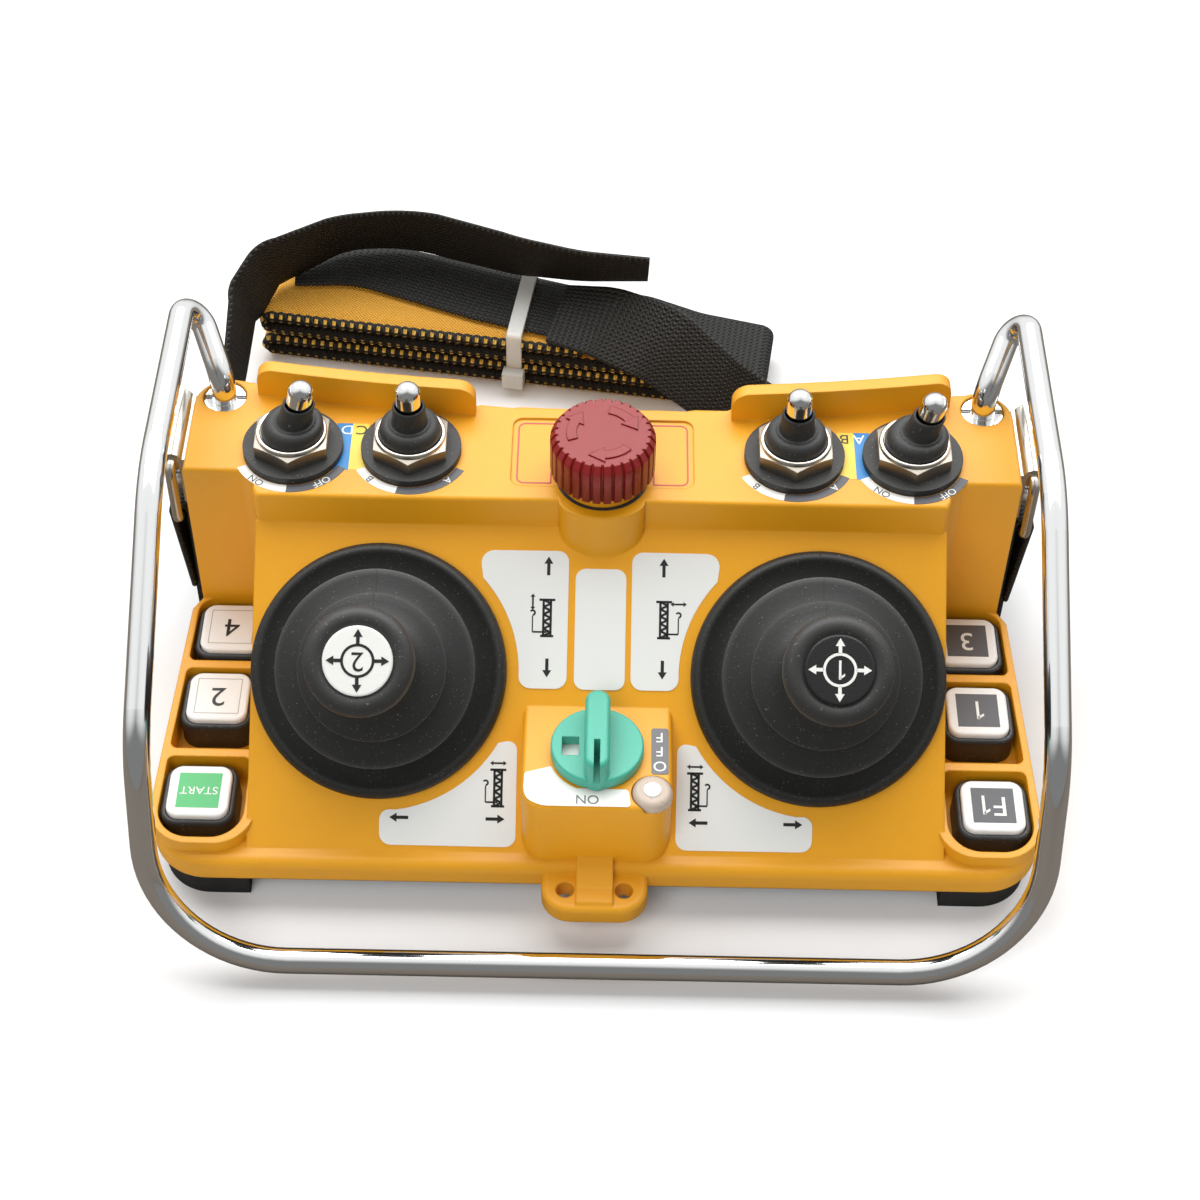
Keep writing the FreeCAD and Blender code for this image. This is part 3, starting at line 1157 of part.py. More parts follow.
def toggle_lever(x, lean):
    """Bat lever on its ball, leaning about Y."""
    profile = [(0, -TOGGLE_TAIL), (TOGGLE_NECK_R, -TOGGLE_TAIL), (TOGGLE_NECK_R, TOGGLE_BAT_START)]
    profile += [(TOGGLE_TIP_R, TOGGLE_BAT_END), (TOGGLE_TIP_R, TOGGLE_TIP_H), (0, TOGGLE_TIP_H)]
    ball = Part.makeSphere(TOGGLE_BALL_R)
    tip = Part.makeSphere(TOGGLE_TIP_R, V(0, 0, TOGGLE_TIP_H))
    place = FreeCAD.Placement(V(x, TOGGLE_Y, TOP_Z + TOGGLE_PIVOT_H), FreeCAD.Rotation(V(0, 1, 0), lean))
    pieces = [turned(profile), ball, tip, toggle_pin(TOGGLE_PIN_R, 0)]
    return fuse(pieces).transformed(place.toMatrix())


def toggle_boot(x, lean):
    """Rubber boot from the nut to the bat, following the lever's lean."""
    first, last = TOGGLE_BOOT[0][1], TOGGLE_BOOT[-1][1]
    seat = TOP_Z + TOGGLE_WASHER_T + TOGGLE_NUT_H

    def skin(wall, stretch):
        rings = []
        for r, z in TOGGLE_BOOT:
            share = (z - first) / (last - first)
            aside = math.tan(math.radians(lean)) * (seat + z - TOP_Z - TOGGLE_PIVOT_H) * share
            height = seat + z + stretch * math.copysign(1, share - 0.5)
            rings.append(Part.Wire(Part.makeCircle(r - wall, V(x + aside, TOGGLE_Y, height))))
        return Part.makeLoft(rings, True, True)
    return skin(0, 0).cut(skin(TOGGLE_BOOT_WALL, FIT))


def stop_head():
    """Hollow mushroom head with a fluted rim."""
    base, top = STOP_HEAD_Z, STOP_HEAD_Z + STOP_HEAD_H
    ceiling = base + STOP_TRAVEL + STOP_HEAD_WALL
    inner = STOP_HEAD_R - STOP_HEAD_WALL
    profile = [
        (STOP_STEM_R + FIT, ceiling), (inner, ceiling), (inner, base), (STOP_HEAD_R, base),
         (STOP_HEAD_R, top - STOP_CHAMFER), (STOP_HEAD_R - STOP_CHAMFER, top), (0, top),
        (0, ceiling + STOP_SOCKET), (STOP_STEM_R + FIT, ceiling + STOP_SOCKET),
    ]
    head = turned(profile)
    flutes = []
    for k in range(STOP_FLUTES):
        angle = 2 * math.pi * k / STOP_FLUTES
        x, y = STOP_HEAD_R * math.cos(angle), STOP_HEAD_R * math.sin(angle)
        flutes.append(cylinder(STOP_FLUTE_R, x, y, base + STOP_LIP, top))
    return head.cut(Part.makeCompound(flutes)).translated(V(0, STOP_Y, 0))


def stop_stem():
    top = STOP_HEAD_Z + STOP_TRAVEL + STOP_HEAD_WALL + STOP_SOCKET - FIT
    return cylinder(STOP_STEM_R, 0, STOP_Y, STOP_STEM_Z, top)


def stop_collar():
    """Collar on the top face with the bush through the housing."""
    collar = cylinder(STOP_COLLAR_R, 0, STOP_Y, TOP_Z, TOP_Z + STOP_COLLAR_H)
    collar = rounded(collar, STOP_HEAD_WALL / 2, lambda e: lies_at(e, TOP_Z + STOP_COLLAR_H))
    bush = cylinder(STOP_BUSH_R, 0, STOP_Y, STOP_BLOCK_TOP_Z, TOP_Z)
    return collar.fuse(bush).cut(cylinder(STOP_STEM_R + FIT, 0, STOP_Y, 0, 2 * TOP_Z))


def stop_contact_block():
    neck = cylinder(STOP_BUSH_R, 0, STOP_Y, STOP_BLOCK_Z, STOP_BLOCK_TOP_Z)
    half, foot = STOP_BLOCK_HALF_W, STOP_BLOCK_Z - STOP_BLOCK_H
    block = box(-half, half, *STOP_BLOCK_Y, foot, STOP_BLOCK_Z)
    lowest = STOP_STEM_Z - STOP_TRAVEL - OVER
    return neck.fuse(block).cut(cylinder(STOP_STEM_R + FIT, 0, STOP_Y, lowest, TOP_Z))


def key_knob():
    """Rotary key: disc with a grip bar, a pointer slot and a window, on its shaft."""
    low = KEY_TOP_Z + KEY_LIFT
    top = low + KEY_DISC_T
    disc = cylinder(KEY_DISC_R, 0, 0, low, top)
    disc = rounded(disc, KEY_EDGE_R / 2, lambda e: lies_at(e, top))
    reach = KEY_DISC_R + KEY_BAR_OVER
    bar = rounded_box(-KEY_BAR_W / 2, KEY_BAR_W / 2, -reach, reach, low, top + KEY_BAR_H, KEY_BAR_W / 2 - FIT)
    bar = rounded(bar, KEY_EDGE_R, lambda e: lies_at(e, top + KEY_BAR_H))
    slot_end = -reach + KEY_SLOT_LENGTH
    slot = box(-KEY_SLOT_W / 2, KEY_SLOT_W / 2, -reach - OVER, slot_end, top, top + 2 * KEY_BAR_H)
    length, width = KEY_WINDOW
    window = box(KEY_WINDOW_X - length / 2, KEY_WINDOW_X + length / 2, KEY_WINDOW_Y - width / 2,
                 KEY_WINDOW_Y + width / 2, low - OVER, top + OVER)
    shaft = cylinder(KEY_SHAFT_R, 0, 0, KEY_TOP_Z - WALL - KEY_SHAFT_IN, low)
    return fuse([disc, bar]).cut(slot).cut(window).fuse(shaft).translated(V(0, KEY_Y, 0))


def key_switch():
    under = KEY_TOP_Z - WALL
    body = cylinder(KEY_BODY_R, 0, KEY_Y, under - KEY_BODY_H, under)
    return body.cut(cylinder(KEY_SHAFT_R + FIT, 0, KEY_Y, under - KEY_SHAFT_IN - SEAT_FIT, KEY_TOP_Z))


def status_lens():
    """Domed lens with its light tube."""
    seat = KEY_TOP_Z - LENS_SEAT
    lens = cylinder(LENS_R, LENS_X, LENS_Y, seat, seat + LENS_H)
    lens = rounded(lens, LENS_H / 2, lambda e: lies_at(e, seat + LENS_H))
    return lens.fuse(cylinder(LENS_TUBE_R, LENS_X, LENS_Y, seat - LENS_TUBE, seat))


def all_parts():
    parts = {
        "upper_housing": upper_housing(),
        "bottom_cover": bottom_cover(),
        "housing_gasket": housing_gasket(),
        "rubber_feet": rubber_feet(),
        "fasteners": fasteners(),
        "battery_door": battery_door(),
        "battery_cells": battery_cells(),
        "battery_contacts": battery_contacts(),
        "main_board": main_board(),
        "radio_module": radio_module(),
        "button_boards": button_boards(),
        "button_sleeves": button_sleeves(),
        "handle_bar": handle_bar(),
        "handle_ring_nuts": handle_ring_nuts(),
        "strap_brackets": strap_brackets(),
        "strap_webbing": strap_webbing(),
        "strap_pad": strap_pad(),
        "cable_tie": cable_tie(),
        "estop_head": stop_head(),
        "estop_stem": stop_stem(),
        "estop_collar": stop_collar(),
        "estop_contact_block": stop_contact_block(),
        "key_knob": key_knob(),
        "key_switch": key_switch(),
        "status_lens": status_lens(),
    }
    for names, side in ((LEFT_BUTTONS, -1), (RIGHT_BUTTONS, 1)):
        for index, name in enumerate(names):
            parts["button_cap_" + name] = button_cap(index, side)
    for name, side in (("left", -1), ("right", 1)):
        ring, loop = d_ring(), strap_loop()
        parts["d_ring_" + name] = ring if side > 0 else mirrored(ring)
        parts["strap_loop_" + name] = loop if side > 0 else mirrored(loop)
        pieces = {
            "frame": joystick_frame(), "yoke": joystick_yoke(), "stick": joystick_stick(),
            "knob": joystick_knob(), "insert": joystick_insert(), "boot": joystick_boot(),
        }
        for piece, solid in pieces.items():
            parts["joystick_" + name + "_" + piece] = on_panel(solid, side * JOY_X)
    toggles = toggle_places()
    for name, (x, lean) in toggles.items():
        parts["toggle_" + name + "_lever"] = toggle_lever(x, lean)
        parts["toggle_" + name + "_boot"] = toggle_boot(x, lean)
    parts["toggle_bodies"] = Part.makeCompound([toggle_body(x) for x, lean in toggles.values()])
    parts["toggle_washers"] = Part.makeCompound([toggle_washer(x) for x, lean in toggles.values()])
    parts["toggle_nuts"] = Part.makeCompound([toggle_nut(x) for x, lean in toggles.values()])
    return parts


os.makedirs("parts", exist_ok=True)
for part_name, shape in all_parts().items():
    print(part_name, shape.isValid(), len(shape.Solids), round(shape.Volume))
    shape.exportStep("parts/" + part_name + ".step")
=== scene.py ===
# %% [markdown]
# # A joystick radio remote control
# The solids of this belly-box remote come from CAD as a fixed frame: every piece already sits where
# it belongs, in metres, with the table at Z = 0. Here the frame gets its finishes, its soft pieces
# (bellows, boots, folded strap) and its printed plates. Small sizes are easier to read in
# millimetres, so most are written that way and multiplied by `MM`.

import json
import math

import bmesh
import bpy
from mathutils import Matrix, Quaternion, Vector


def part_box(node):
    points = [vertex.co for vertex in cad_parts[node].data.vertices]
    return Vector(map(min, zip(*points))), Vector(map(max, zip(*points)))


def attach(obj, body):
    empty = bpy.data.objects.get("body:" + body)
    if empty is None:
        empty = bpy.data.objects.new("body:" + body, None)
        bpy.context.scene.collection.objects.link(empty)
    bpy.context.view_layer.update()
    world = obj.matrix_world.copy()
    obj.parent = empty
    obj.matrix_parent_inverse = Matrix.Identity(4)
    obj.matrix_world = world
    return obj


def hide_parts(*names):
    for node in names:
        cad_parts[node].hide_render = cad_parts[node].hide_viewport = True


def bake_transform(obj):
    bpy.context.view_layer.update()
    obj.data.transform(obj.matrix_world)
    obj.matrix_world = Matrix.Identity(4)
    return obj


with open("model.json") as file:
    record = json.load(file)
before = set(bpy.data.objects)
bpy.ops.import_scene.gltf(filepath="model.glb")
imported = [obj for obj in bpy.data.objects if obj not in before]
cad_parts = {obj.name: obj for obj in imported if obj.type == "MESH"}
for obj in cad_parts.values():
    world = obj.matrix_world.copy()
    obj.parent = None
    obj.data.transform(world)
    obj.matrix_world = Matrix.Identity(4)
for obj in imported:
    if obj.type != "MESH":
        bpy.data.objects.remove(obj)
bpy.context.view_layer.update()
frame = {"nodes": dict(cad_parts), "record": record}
nodes = frame["nodes"]
MM = 0.001

# %% [markdown]
# ## Camera
# The photo looks down on the front of the box from about half way up, through a fairly long lens,
# and its horizon hangs a little to the right. A camera is easiest to set by one matrix: place,
# then pitch about X, then the small roll about its own axis.

# %% Camera
FOCAL_LENGTH, SENSOR_WIDTH = 72.0, 36.0
CAMERA_PLACE = (0.0, -0.4335, 0.559)
PITCH = math.radians(41.0)
ROLL = math.radians(1.1)


def shown(name, data):
    """A new object of the scene around its data."""
    thing = bpy.data.objects.new(name, data)
    bpy.context.scene.collection.objects.link(thing)
    return thing


lens = bpy.data.cameras.new("photo_lens")
lens.lens = FOCAL_LENGTH
lens.sensor_width = SENSOR_WIDTH
camera = shown("photo_camera", lens)
stand = Matrix.Translation(CAMERA_PLACE) @ Matrix.Rotation(PITCH, 4, "X")
camera.matrix_world = stand @ Matrix.Rotation(ROLL, 4, "Z")
bpy.context.scene.camera = camera
print("camera at", tuple(round(v, 3) for v in camera.matrix_world.translation))

# %% [markdown]
# ## Shader maths as Python
# Node trees are quicker to read as formulas. `Shade` wraps one socket, so `1 - mask * 0.4` adds the
# Math nodes by itself. `Graph` hands out nodes and plugs values or sockets in, and `Finish` is the
# graph of one material around a Principled shader.

# %% Shader arithmetic
class Shade:
    """One socket of a graph, usable in arithmetic."""

    def __init__(self, graph, socket):
        self.graph = graph
        self.socket = socket

    def maths(self, operation, first, second=0.0):
        return self.graph.node("ShaderNodeMath", {"operation": operation}, {0: first, 1: second})

    def __add__(self, other):
        return self.maths("ADD", self, other)

    def __sub__(self, other):
        return self.maths("SUBTRACT", self, other)

    def __rsub__(self, other):
        return self.maths("SUBTRACT", other, self)

    def __mul__(self, other):
        return self.maths("MULTIPLY", self, other)

    __radd__ = __add__
    __rmul__ = __mul__

    def wave(self):
        """Sine of the value."""
        return self.maths("SINE", self)

    def size(self):
        """The value without its sign."""
        return self.maths("ABSOLUTE", self)

    def over(self, low, high):
        """A smooth step from 0 at low to 1 at high; it falls where low is the larger."""
        limits = {"Value": self, "From Min": low, "From Max": high}
        return self.graph.node("ShaderNodeMapRange", {"interpolation_type": "SMOOTHSTEP"}, limits)


print("shader arithmetic ready")

# %% Node graphs
class Graph:
    """A node tree that hands out its nodes as shades."""

    def __init__(self, tree):
        self.tree = tree

    def plug(self, socket, value):
        if isinstance(value, Shade):
            self.tree.links.new(value.socket, socket)
        else:
            socket.default_value = value

    def node(self, kind, settings=None, inputs=None, out=0):
        new = self.tree.nodes.new(kind)
        for name, value in (settings or {}).items():
            setattr(new, name, value)
        for name, value in (inputs or {}).items():
            self.plug(new.inputs[name], value)
        return Shade(self, new.outputs[out])

    def axes(self, vector):
        """The three numbers of a vector."""
        split = self.node("ShaderNodeSeparateXYZ", inputs={"Vector": vector})
        return [Shade(self, split.socket.node.outputs[k]) for k in range(3)]


print("node graphs ready")

# %% Materials
COLOR_A, COLOR_B, COLOR_OUT = 6, 7, 2  # where a Mix node keeps its colour sockets


class Finish(Graph):
    """A material around one Principled shader."""

    def __init__(self, name, color, roughness, plain=None):
        self.material = bpy.data.materials.new(name)
        self.material.use_nodes = True
        super().__init__(self.material.node_tree)
        self.shader = self.tree.nodes["Principled BSDF"]
        self.feed({"Base Color": color, "Roughness": roughness})
        self.feed(plain or {})

    def feed(self, values):
        for name, value in values.items():
            self.plug(self.shader.inputs[name], value)

    def place(self):
        """Where a point of the piece lies, in metres."""
        return self.node("ShaderNodeTexCoord", out="Object")

    def strip(self):
        """Metres along and across a strip and the angle round its section, as stored on its mesh."""
        return self.axes(self.node("ShaderNodeAttribute", {"attribute_name": "strip"}, out="Vector"))

    def noise(self, scale, detail=2.0, roughness=0.5):
        values = {"Vector": self.place(), "Scale": scale, "Detail": detail, "Roughness": roughness}
        return self.node("ShaderNodeTexNoise", inputs=values)

    def mix(self, share, low, high):
        colors = {"Factor": share, COLOR_A: low, COLOR_B: high}
        return self.node("ShaderNodeMix", {"data_type": "RGBA"}, colors, out=COLOR_OUT)

    def uneven(self, noise, middle, spread):
        """Roughness that wanders with a noise, by a spread around its middle."""
        self.feed({"Roughness": noise * spread + (middle - spread / 2)})

    def bump(self, height, distance, rounding=0.0):
        """Relief from a height, on edges that are first rounded by a radius."""
        values = {"Height": height, "Distance": distance, "Strength": 1.0}
        if rounding:
            values["Normal"] = self.node("ShaderNodeBevel", {"samples": 6}, {"Radius": rounding})
        self.feed({"Normal": self.node("ShaderNodeBump", inputs=values)})


def tint(code):
    """Linear colour of a hex code, by the sRGB curve."""
    channels = [int(code[k:k + 2], 16) / 255 for k in (0, 2, 4)]
    return tuple(c / 12.92 if c < 0.04045 else ((c + 0.055) / 1.055) ** 2.4 for c in channels) + (1.0,)


print("materials ready")

# %% [markdown]
# ## Light
# A product photo on white has one broad soft light behind and above, which puts the pale sheen on
# every level face, and a weaker one in front. Only the rear one may be mirrored: a mirrored front
# light would lie as a haze on every face that looks at the camera.

# %% Soft boxes
def soft_box(name, place, target, size, power, mirrored):
    """A rectangular lamp aimed at a target."""
    data = bpy.data.lights.new(name, "AREA")
    data.shape = "RECTANGLE"
    data.size, data.size_y = size
    data.energy = power
    lamp = shown(name, data)
    aim = (Vector(target) - Vector(place)).to_track_quat("-Z", "Y")
    lamp.matrix_world = Matrix.Translation(place) @ aim.to_matrix().to_4x4()
    lamp.visible_glossy = mirrored


soft_box(
    "rear_softbox", place=(0.0, 0.62, 1.18), target=(0.0, 0.05, 0.05),
    size=(2.4, 1.1), power=32.0, mirrored=True,
)
soft_box(
    "front_softbox", place=(-0.35, -0.85, 0.95), target=(0.0, -0.02, 0.05),
    size=(0.9, 0.7), power=7.5, mirrored=False,
)
print("two soft boxes")

# %% [markdown]
# ## Floor and world
# The floor is nearly white and keeps the soft shadow. It is a disc no wider than the light reaches,
# so low views don't end in a dark horizon. The world is white to the camera and dim as a light. To
# reflections it is bright only at the sides, behind and above, and the floor is dark to them,
# because chrome only reads as chrome when it has something dark to mirror.

# %% Floor
FLOOR_RADIUS = 0.85
PAPER, PAPER_IN_METAL = (0.9, 0.9, 0.9, 1.0), (0.16, 0.14, 0.12, 1.0)

disc = bmesh.new()
bmesh.ops.create_circle(disc, cap_ends=True, segments=128, radius=FLOOR_RADIUS)
floor_mesh = bpy.data.meshes.new("floor")
disc.to_mesh(floor_mesh)
disc.free()
paper = Finish("floor_paper", PAPER, 0.9, {"Specular IOR Level": 0.0})
in_metal = paper.node("ShaderNodeLightPath", out="Is Glossy Ray")
paper.feed({"Base Color": paper.mix(in_metal, PAPER, PAPER_IN_METAL)})
floor_mesh.materials.append(paper.material)
floor = shown("floor", floor_mesh)
print("floor disc of", FLOOR_RADIUS, "m")

# %% World
AMBIENT = 0.225
DARK_SKY = 0.22

world = bpy.data.worlds.new("studio")
bpy.context.scene.world = world
world.use_nodes = True
studio = Graph(world.node_tree)
rays = studio.node("ShaderNodeLightPath").socket.node.outputs
seen = Shade(studio, rays["Is Camera Ray"]) + Shade(studio, rays["Is Transmission Ray"])
in_metal = Shade(studio, rays["Is Glossy Ray"])
side, depth, rise = studio.axes(studio.node("ShaderNodeTexCoord", out="Generated"))
bright = (rise * 0.85 + depth * 0.5 + side.size() * 0.45).over(0.3, 0.8)
sky = bright * (1.0 - DARK_SKY) + DARK_SKY
level = seen + in_metal * sky + (1.0 - seen) * (1.0 - in_metal) * AMBIENT
background = world.node_tree.nodes["Background"]
background.inputs["Color"].default_value = (1.0, 1.0, 1.0, 1.0)
studio.plug(background.inputs["Strength"], level)
bpy.context.scene.view_settings.view_transform = "Standard"
print("white world")

# %% [markdown]
# ## Moulded plastics, rubber and metal
# Each finish starts from the colour the photo shows in plain light. Moulded plastic has a fine
# spark-eroded grain, so its relief is a dense noise, and its edges are rounded in the shader.
# Plated metal only varies in gloss, and rubber collects pale dust.

# %% Kinds of finish
DUST = tint("8A8A84")


def moulded(name, code, roughness, grain=0.00006, rounding=0.0008, spread=0.12, plain=None):
    """Grained plastic with slightly uneven colour and soft edges."""
    finish = Finish(name, tint(code), roughness, plain)
    dark = tuple(c * (1 - spread) for c in tint(code)[:3]) + (1.0,)
    patches = finish.noise(scale=18.0, detail=3.0)
    finish.feed({"Base Color": finish.mix(patches, dark, tint(code))})
    finish.uneven(finish.noise(scale=900.0), roughness, spread=0.16)
    finish.bump(finish.noise(scale=2600.0, detail=1.0), grain, rounding)
    return finish.material


def metal(name, code, roughness, marking=0.05, rounding=0.0003):
    """Plated metal with faint handling marks in its gloss."""
    finish = Finish(name, tint(code), roughness, {"Metallic": 1.0})
    marks = finish.noise(scale=140.0, detail=6.0, roughness=0.7)
    finish.uneven(marks, roughness + marking / 2, spread=marking)
    finish.bump(finish.noise(scale=420.0, detail=3.0), 0.000008, rounding)
    return finish.material


def dusty_rubber(name, code, roughness):
    """Black rubber with pale dust specks."""
    finish = Finish(name, tint(code), roughness)
    specks = finish.noise(scale=1500.0, detail=1.0).over(0.70, 0.76)
    finish.feed({"Base Color": finish.mix(specks * 0.5, tint(code), DUST)})
    finish.uneven(finish.noise(scale=60.0, detail=4.0), roughness, spread=0.2)
    finish.bump(finish.noise(scale=1800.0, detail=2.0), 0.00005, rounding=0.0004)
    return finish.material


print("plastic, metal and rubber ready")

# %% Finishes of the solids
finishes = {
    "yellow_shell": moulded("yellow_shell", "EDA61A", 0.42, plain={"Specular IOR Level": 0.6}),
    "black_cover": moulded("black_cover", "2A2B2C", 0.5),
    "seal_rubber": dusty_rubber("seal_rubber", "232323", 0.7),
    "screw_steel": metal("screw_steel", "C4C2BD", 0.28),
    "cell_wrap": moulded("cell_wrap", "3A3D42", 0.3),
    "contact_brass": metal("contact_brass", "D8C48E", 0.3),
    "board": moulded("board", "1F6B3E", 0.35),
    "shield_steel": metal("shield_steel", "CFCFCB", 0.3),
    "sleeve_rubber": dusty_rubber("sleeve_rubber", "262524", 0.42),
    "bright_chrome": metal("bright_chrome", "EDEEEE", 0.07),
    "plated_steel": metal("plated_steel", "D5D0C6", 0.2),
    "stop_red": moulded("stop_red", "8E1C1C", 0.36, rounding=0.0005),
    "inner_steel": metal("inner_steel", "B8B8BA", 0.3),
    "black_plastic": moulded("black_plastic", "242424", 0.45),
    "key_green": moulded("key_green", "48B29A", 0.36, rounding=0.0005),
    "cap_white": moulded("cap_white", "F6F6F3", 0.32),
    "boot_rubber": dusty_rubber("boot_rubber", "2A2A29", 0.55),
    "knob_black": dusty_rubber("knob_black", "2C2C2B", 0.5),
    "insert_white": moulded("insert_white", "EDEDE8", 0.3),
    "insert_black": moulded("insert_black", "1E1E1E", 0.3),
    "tie_plastic": moulded("tie_plastic", "E9EAE6", 0.35, plain={"Transmission Weight": 0.35}),
    "lens_clear": moulded(
        "lens_clear", "E6D2C0", 0.3, plain={"Transmission Weight": 0.3, "Specular IOR Level": 0.3}
    ),
    "black_webbing": dusty_rubber("plain_webbing", "262626", 0.8),
    "yellow_pad": moulded("plain_pad", "E0A23A", 0.8),
}
for part in frame["record"]["subparts"]:
    mesh = nodes[part["node"]].data
    mesh.materials.clear()
    mesh.materials.append(finishes[part["material_slot"]])
nodes["toggle_nuts"].data.materials[0] = metal("nut_nickel", "A39D92", 0.42)
print(len(finishes), "finishes on", len(nodes), "solids")

# %% [markdown]
# ## Turned rubber
# A bellows is a lathe shape: its half section spun once round the stick. The section is an open
# line, and a Solidify modifier gives it its wall, so the terraces stay easy to edit.

# %% Spun pieces
def spun(profile, steps=96):
    """Bmesh of an (r, z) line in millimetres, spun once round Z."""
    bm = bmesh.new()
    verts = [bm.verts.new((r * MM, 0.0, z * MM)) for r, z in profile]
    edges = [bm.edges.new(pair) for pair in zip(verts, verts[1:])]
    turn = {"cent": (0, 0, 0), "axis": (0, 0, 1), "angle": 2 * math.pi, "steps": steps, "use_merge": True}
    bmesh.ops.spin(bm, geom=verts + edges, **turn)
    bmesh.ops.remove_doubles(bm, verts=bm.verts, dist=1e-6)
    return bm


def settle(bm, name, material, body="case", place=Matrix(), sharp=40.0):
    """Make the bmesh an object of the frame that rides on a body."""
    bmesh.ops.transform(bm, matrix=place, verts=bm.verts)
    bmesh.ops.recalc_face_normals(bm, faces=bm.faces)
    mesh = bpy.data.meshes.new(name)
    bm.to_mesh(mesh)
    bm.free()
    mesh.materials.append(material)
    mesh.shade_smooth()
    mesh.set_sharp_from_angle(angle=math.radians(sharp))
    piece = shown(name, mesh)
    if body:
        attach(piece, body)
    return piece


def skin(piece, thickness):
    """Give an open shell its wall, inwards."""
    wall = piece.modifiers.new("wall", "SOLIDIFY")
    wall.thickness = thickness
    wall.offset = -1.0
    return piece


SIDES = (("left", -1), ("right", 1))
PANEL_TILT = math.radians(37.0)
PANEL_EDGE = Vector((0.0, 0.017, 0.0714))
PANEL = Matrix.Translation(PANEL_EDGE) @ Matrix.Rotation(PANEL_TILT, 4, "X")
STICK_X, STICK_Y = 60.4, -40.8
STICKS = {side: PANEL @ Matrix.Translation((sign * STICK_X * MM, STICK_Y * MM, 0.0)) for side, sign in SIDES}
print("sticks stand at", [tuple(round(v, 4) for v in place.translation) for place in STICKS.values()])

# %% [markdown]
# ## Bellows finish
# The boots are matt black rubber. A painted highlight, a pale grey line, runs along each of their
# two outer ridges; dust sits all over, and a faint mould seam runs down the middle. All of that
# follows from where a point lies, so it is worked out from Object coordinates: `lift` is the height
# above the sloped panel.

# %% Bellows finish
# the pale grey serves both as real dust and as the painted highlight on the ridges
BLACK_RUBBER, DUST_AND_HIGHLIGHT_GREY = tint("232322"), tint("8F8F8A")
RIDGES = (13.4, 22.6)

bellows = Finish("bellows_rubber", BLACK_RUBBER, 0.5, {"Specular IOR Level": 0.42})
x, y, z = bellows.axes(bellows.place())
lift = (z - PANEL_EDGE.z) * math.cos(PANEL_TILT) - (y - PANEL_EDGE.y) * math.sin(PANEL_TILT)
# painted highlight: a thin line on each ridge, standing in for the light its crisp edge catches
low_ridge, high_ridge = [(lift - height * MM).size().over(0.0009, 0.0002) for height in RIDGES]
specks = bellows.noise(scale=2300.0, detail=1.0).over(0.71, 0.76)
# pale share: painted ridge highlights plus real dust specks
marking = (low_ridge + high_ridge) * 0.14 + specks * 0.5
bellows.feed({"Base Color": bellows.mix(marking, BLACK_RUBBER, DUST_AND_HIGHLIGHT_GREY)})
bellows.uneven(bellows.noise(scale=50.0, detail=4.0), 0.5, spread=0.16)
seam = (x.size() - STICK_X * MM).size().over(0.00025, 0.00005)
bellows.bump(bellows.noise(scale=1800.0, detail=2.0) * 0.5 - seam, 0.00008)
print("bellows rubber with", len(RIDGES), "ridges with painted highlights")

# %% [markdown]
# ## Bellows and knobs
# A bellows sits over the two crossed joints of its stick and is cut in two at its hidden valley.
# Both halves end on the same ring of points at the cut, so no gap opens there. The knob and its
# round face are hard and ride on the lever.

# %% Bellows and knobs
LOW_BELLOWS = (
    (34.2, 0.0), (35.0, 0.5), (35.2, 1.6), (35.0, 3.0), (34.3, 4.1), (33.4, 4.6), (32.7, 4.6), (32.0, 4.2),
    (30.8, 3.6), (29.2, 3.1), (27.4, 2.8), (26.0, 2.9), (25.2, 3.5), (24.9, 4.6), (25.0, 6.4), (25.5, 8.6),
    (26.2, 10.8), (26.8, 12.4), (27.1, 13.2), (27.0, 13.7), (26.6, 14.0), (25.2, 14.3), (23.0, 14.8),
    (20.8, 15.4), (19.2, 16.1), (18.3, 17.0), (18.0, 18.3),
)
HIGH_BELLOWS = (
    (18.0, 18.3), (18.2, 19.4), (18.8, 20.8), (19.5, 22.0), (19.9, 22.8), (19.8, 23.2), (19.2, 23.5),
    (17.4, 24.0), (15.2, 24.8), (13.2, 26.0), (11.8, 27.8), (10.8, 30.2), (10.2, 33.0), (9.8, 36.4),
    (9.6, 39.6), (9.5, 42.4),
)
KNOB = (
    (8.4, 42.0), (9.4, 43.0), (10.8, 44.6), (12.2, 46.8), (13.2, 49.2), (13.8, 51.8), (14.1, 54.2),
    (14.2, 56.4), (14.1, 57.6), (13.7, 58.7), (13.0, 59.5), (12.1, 60.0), (11.2, 60.2), (10.2, 60.1),
    (9.5, 59.8), (9.0, 59.5), (0.0, 59.4),
)
INSERT = ((8.9, 59.4), (8.9, 60.3), (8.6, 60.55), (0.0, 60.6))
BELLOWS_WALL = 0.0012
BEND_HEIGHTS = (4.6, 18.3, 41.0)  # foot, cut and neck of the bellows

for side, place in STICKS.items():
    gimbal, lever = f"joystick_{side}_gimbal", f"joystick_{side}_lever"
    halves = []
    for end, profile in (("low", LOW_BELLOWS), ("high", HIGH_BELLOWS)):
        half = settle(spun(profile), f"bellows_{side}_{end}", bellows.material, None, place)
        halves.append(skin(half, BELLOWS_WALL))
    low, high = halves
    foot, cut, neck = [place @ Vector((0.0, 0.0, height * MM)) for height in BEND_HEIGHTS]
    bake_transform(low)
    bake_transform(high)
    knob = settle(spun(KNOB), f"knob_{side}", finishes["knob_black"], lever, place, sharp=60.0)
    face_slot = "insert_white" if side == "left" else "insert_black"
    face = settle(spun(INSERT), f"insert_{side}", finishes[face_slot], lever, place, sharp=30.0)
    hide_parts(f"joystick_{side}_boot")
    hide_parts(f"joystick_{side}_knob")
    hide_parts(f"joystick_{side}_insert")
print("bellows and knobs on both sticks")
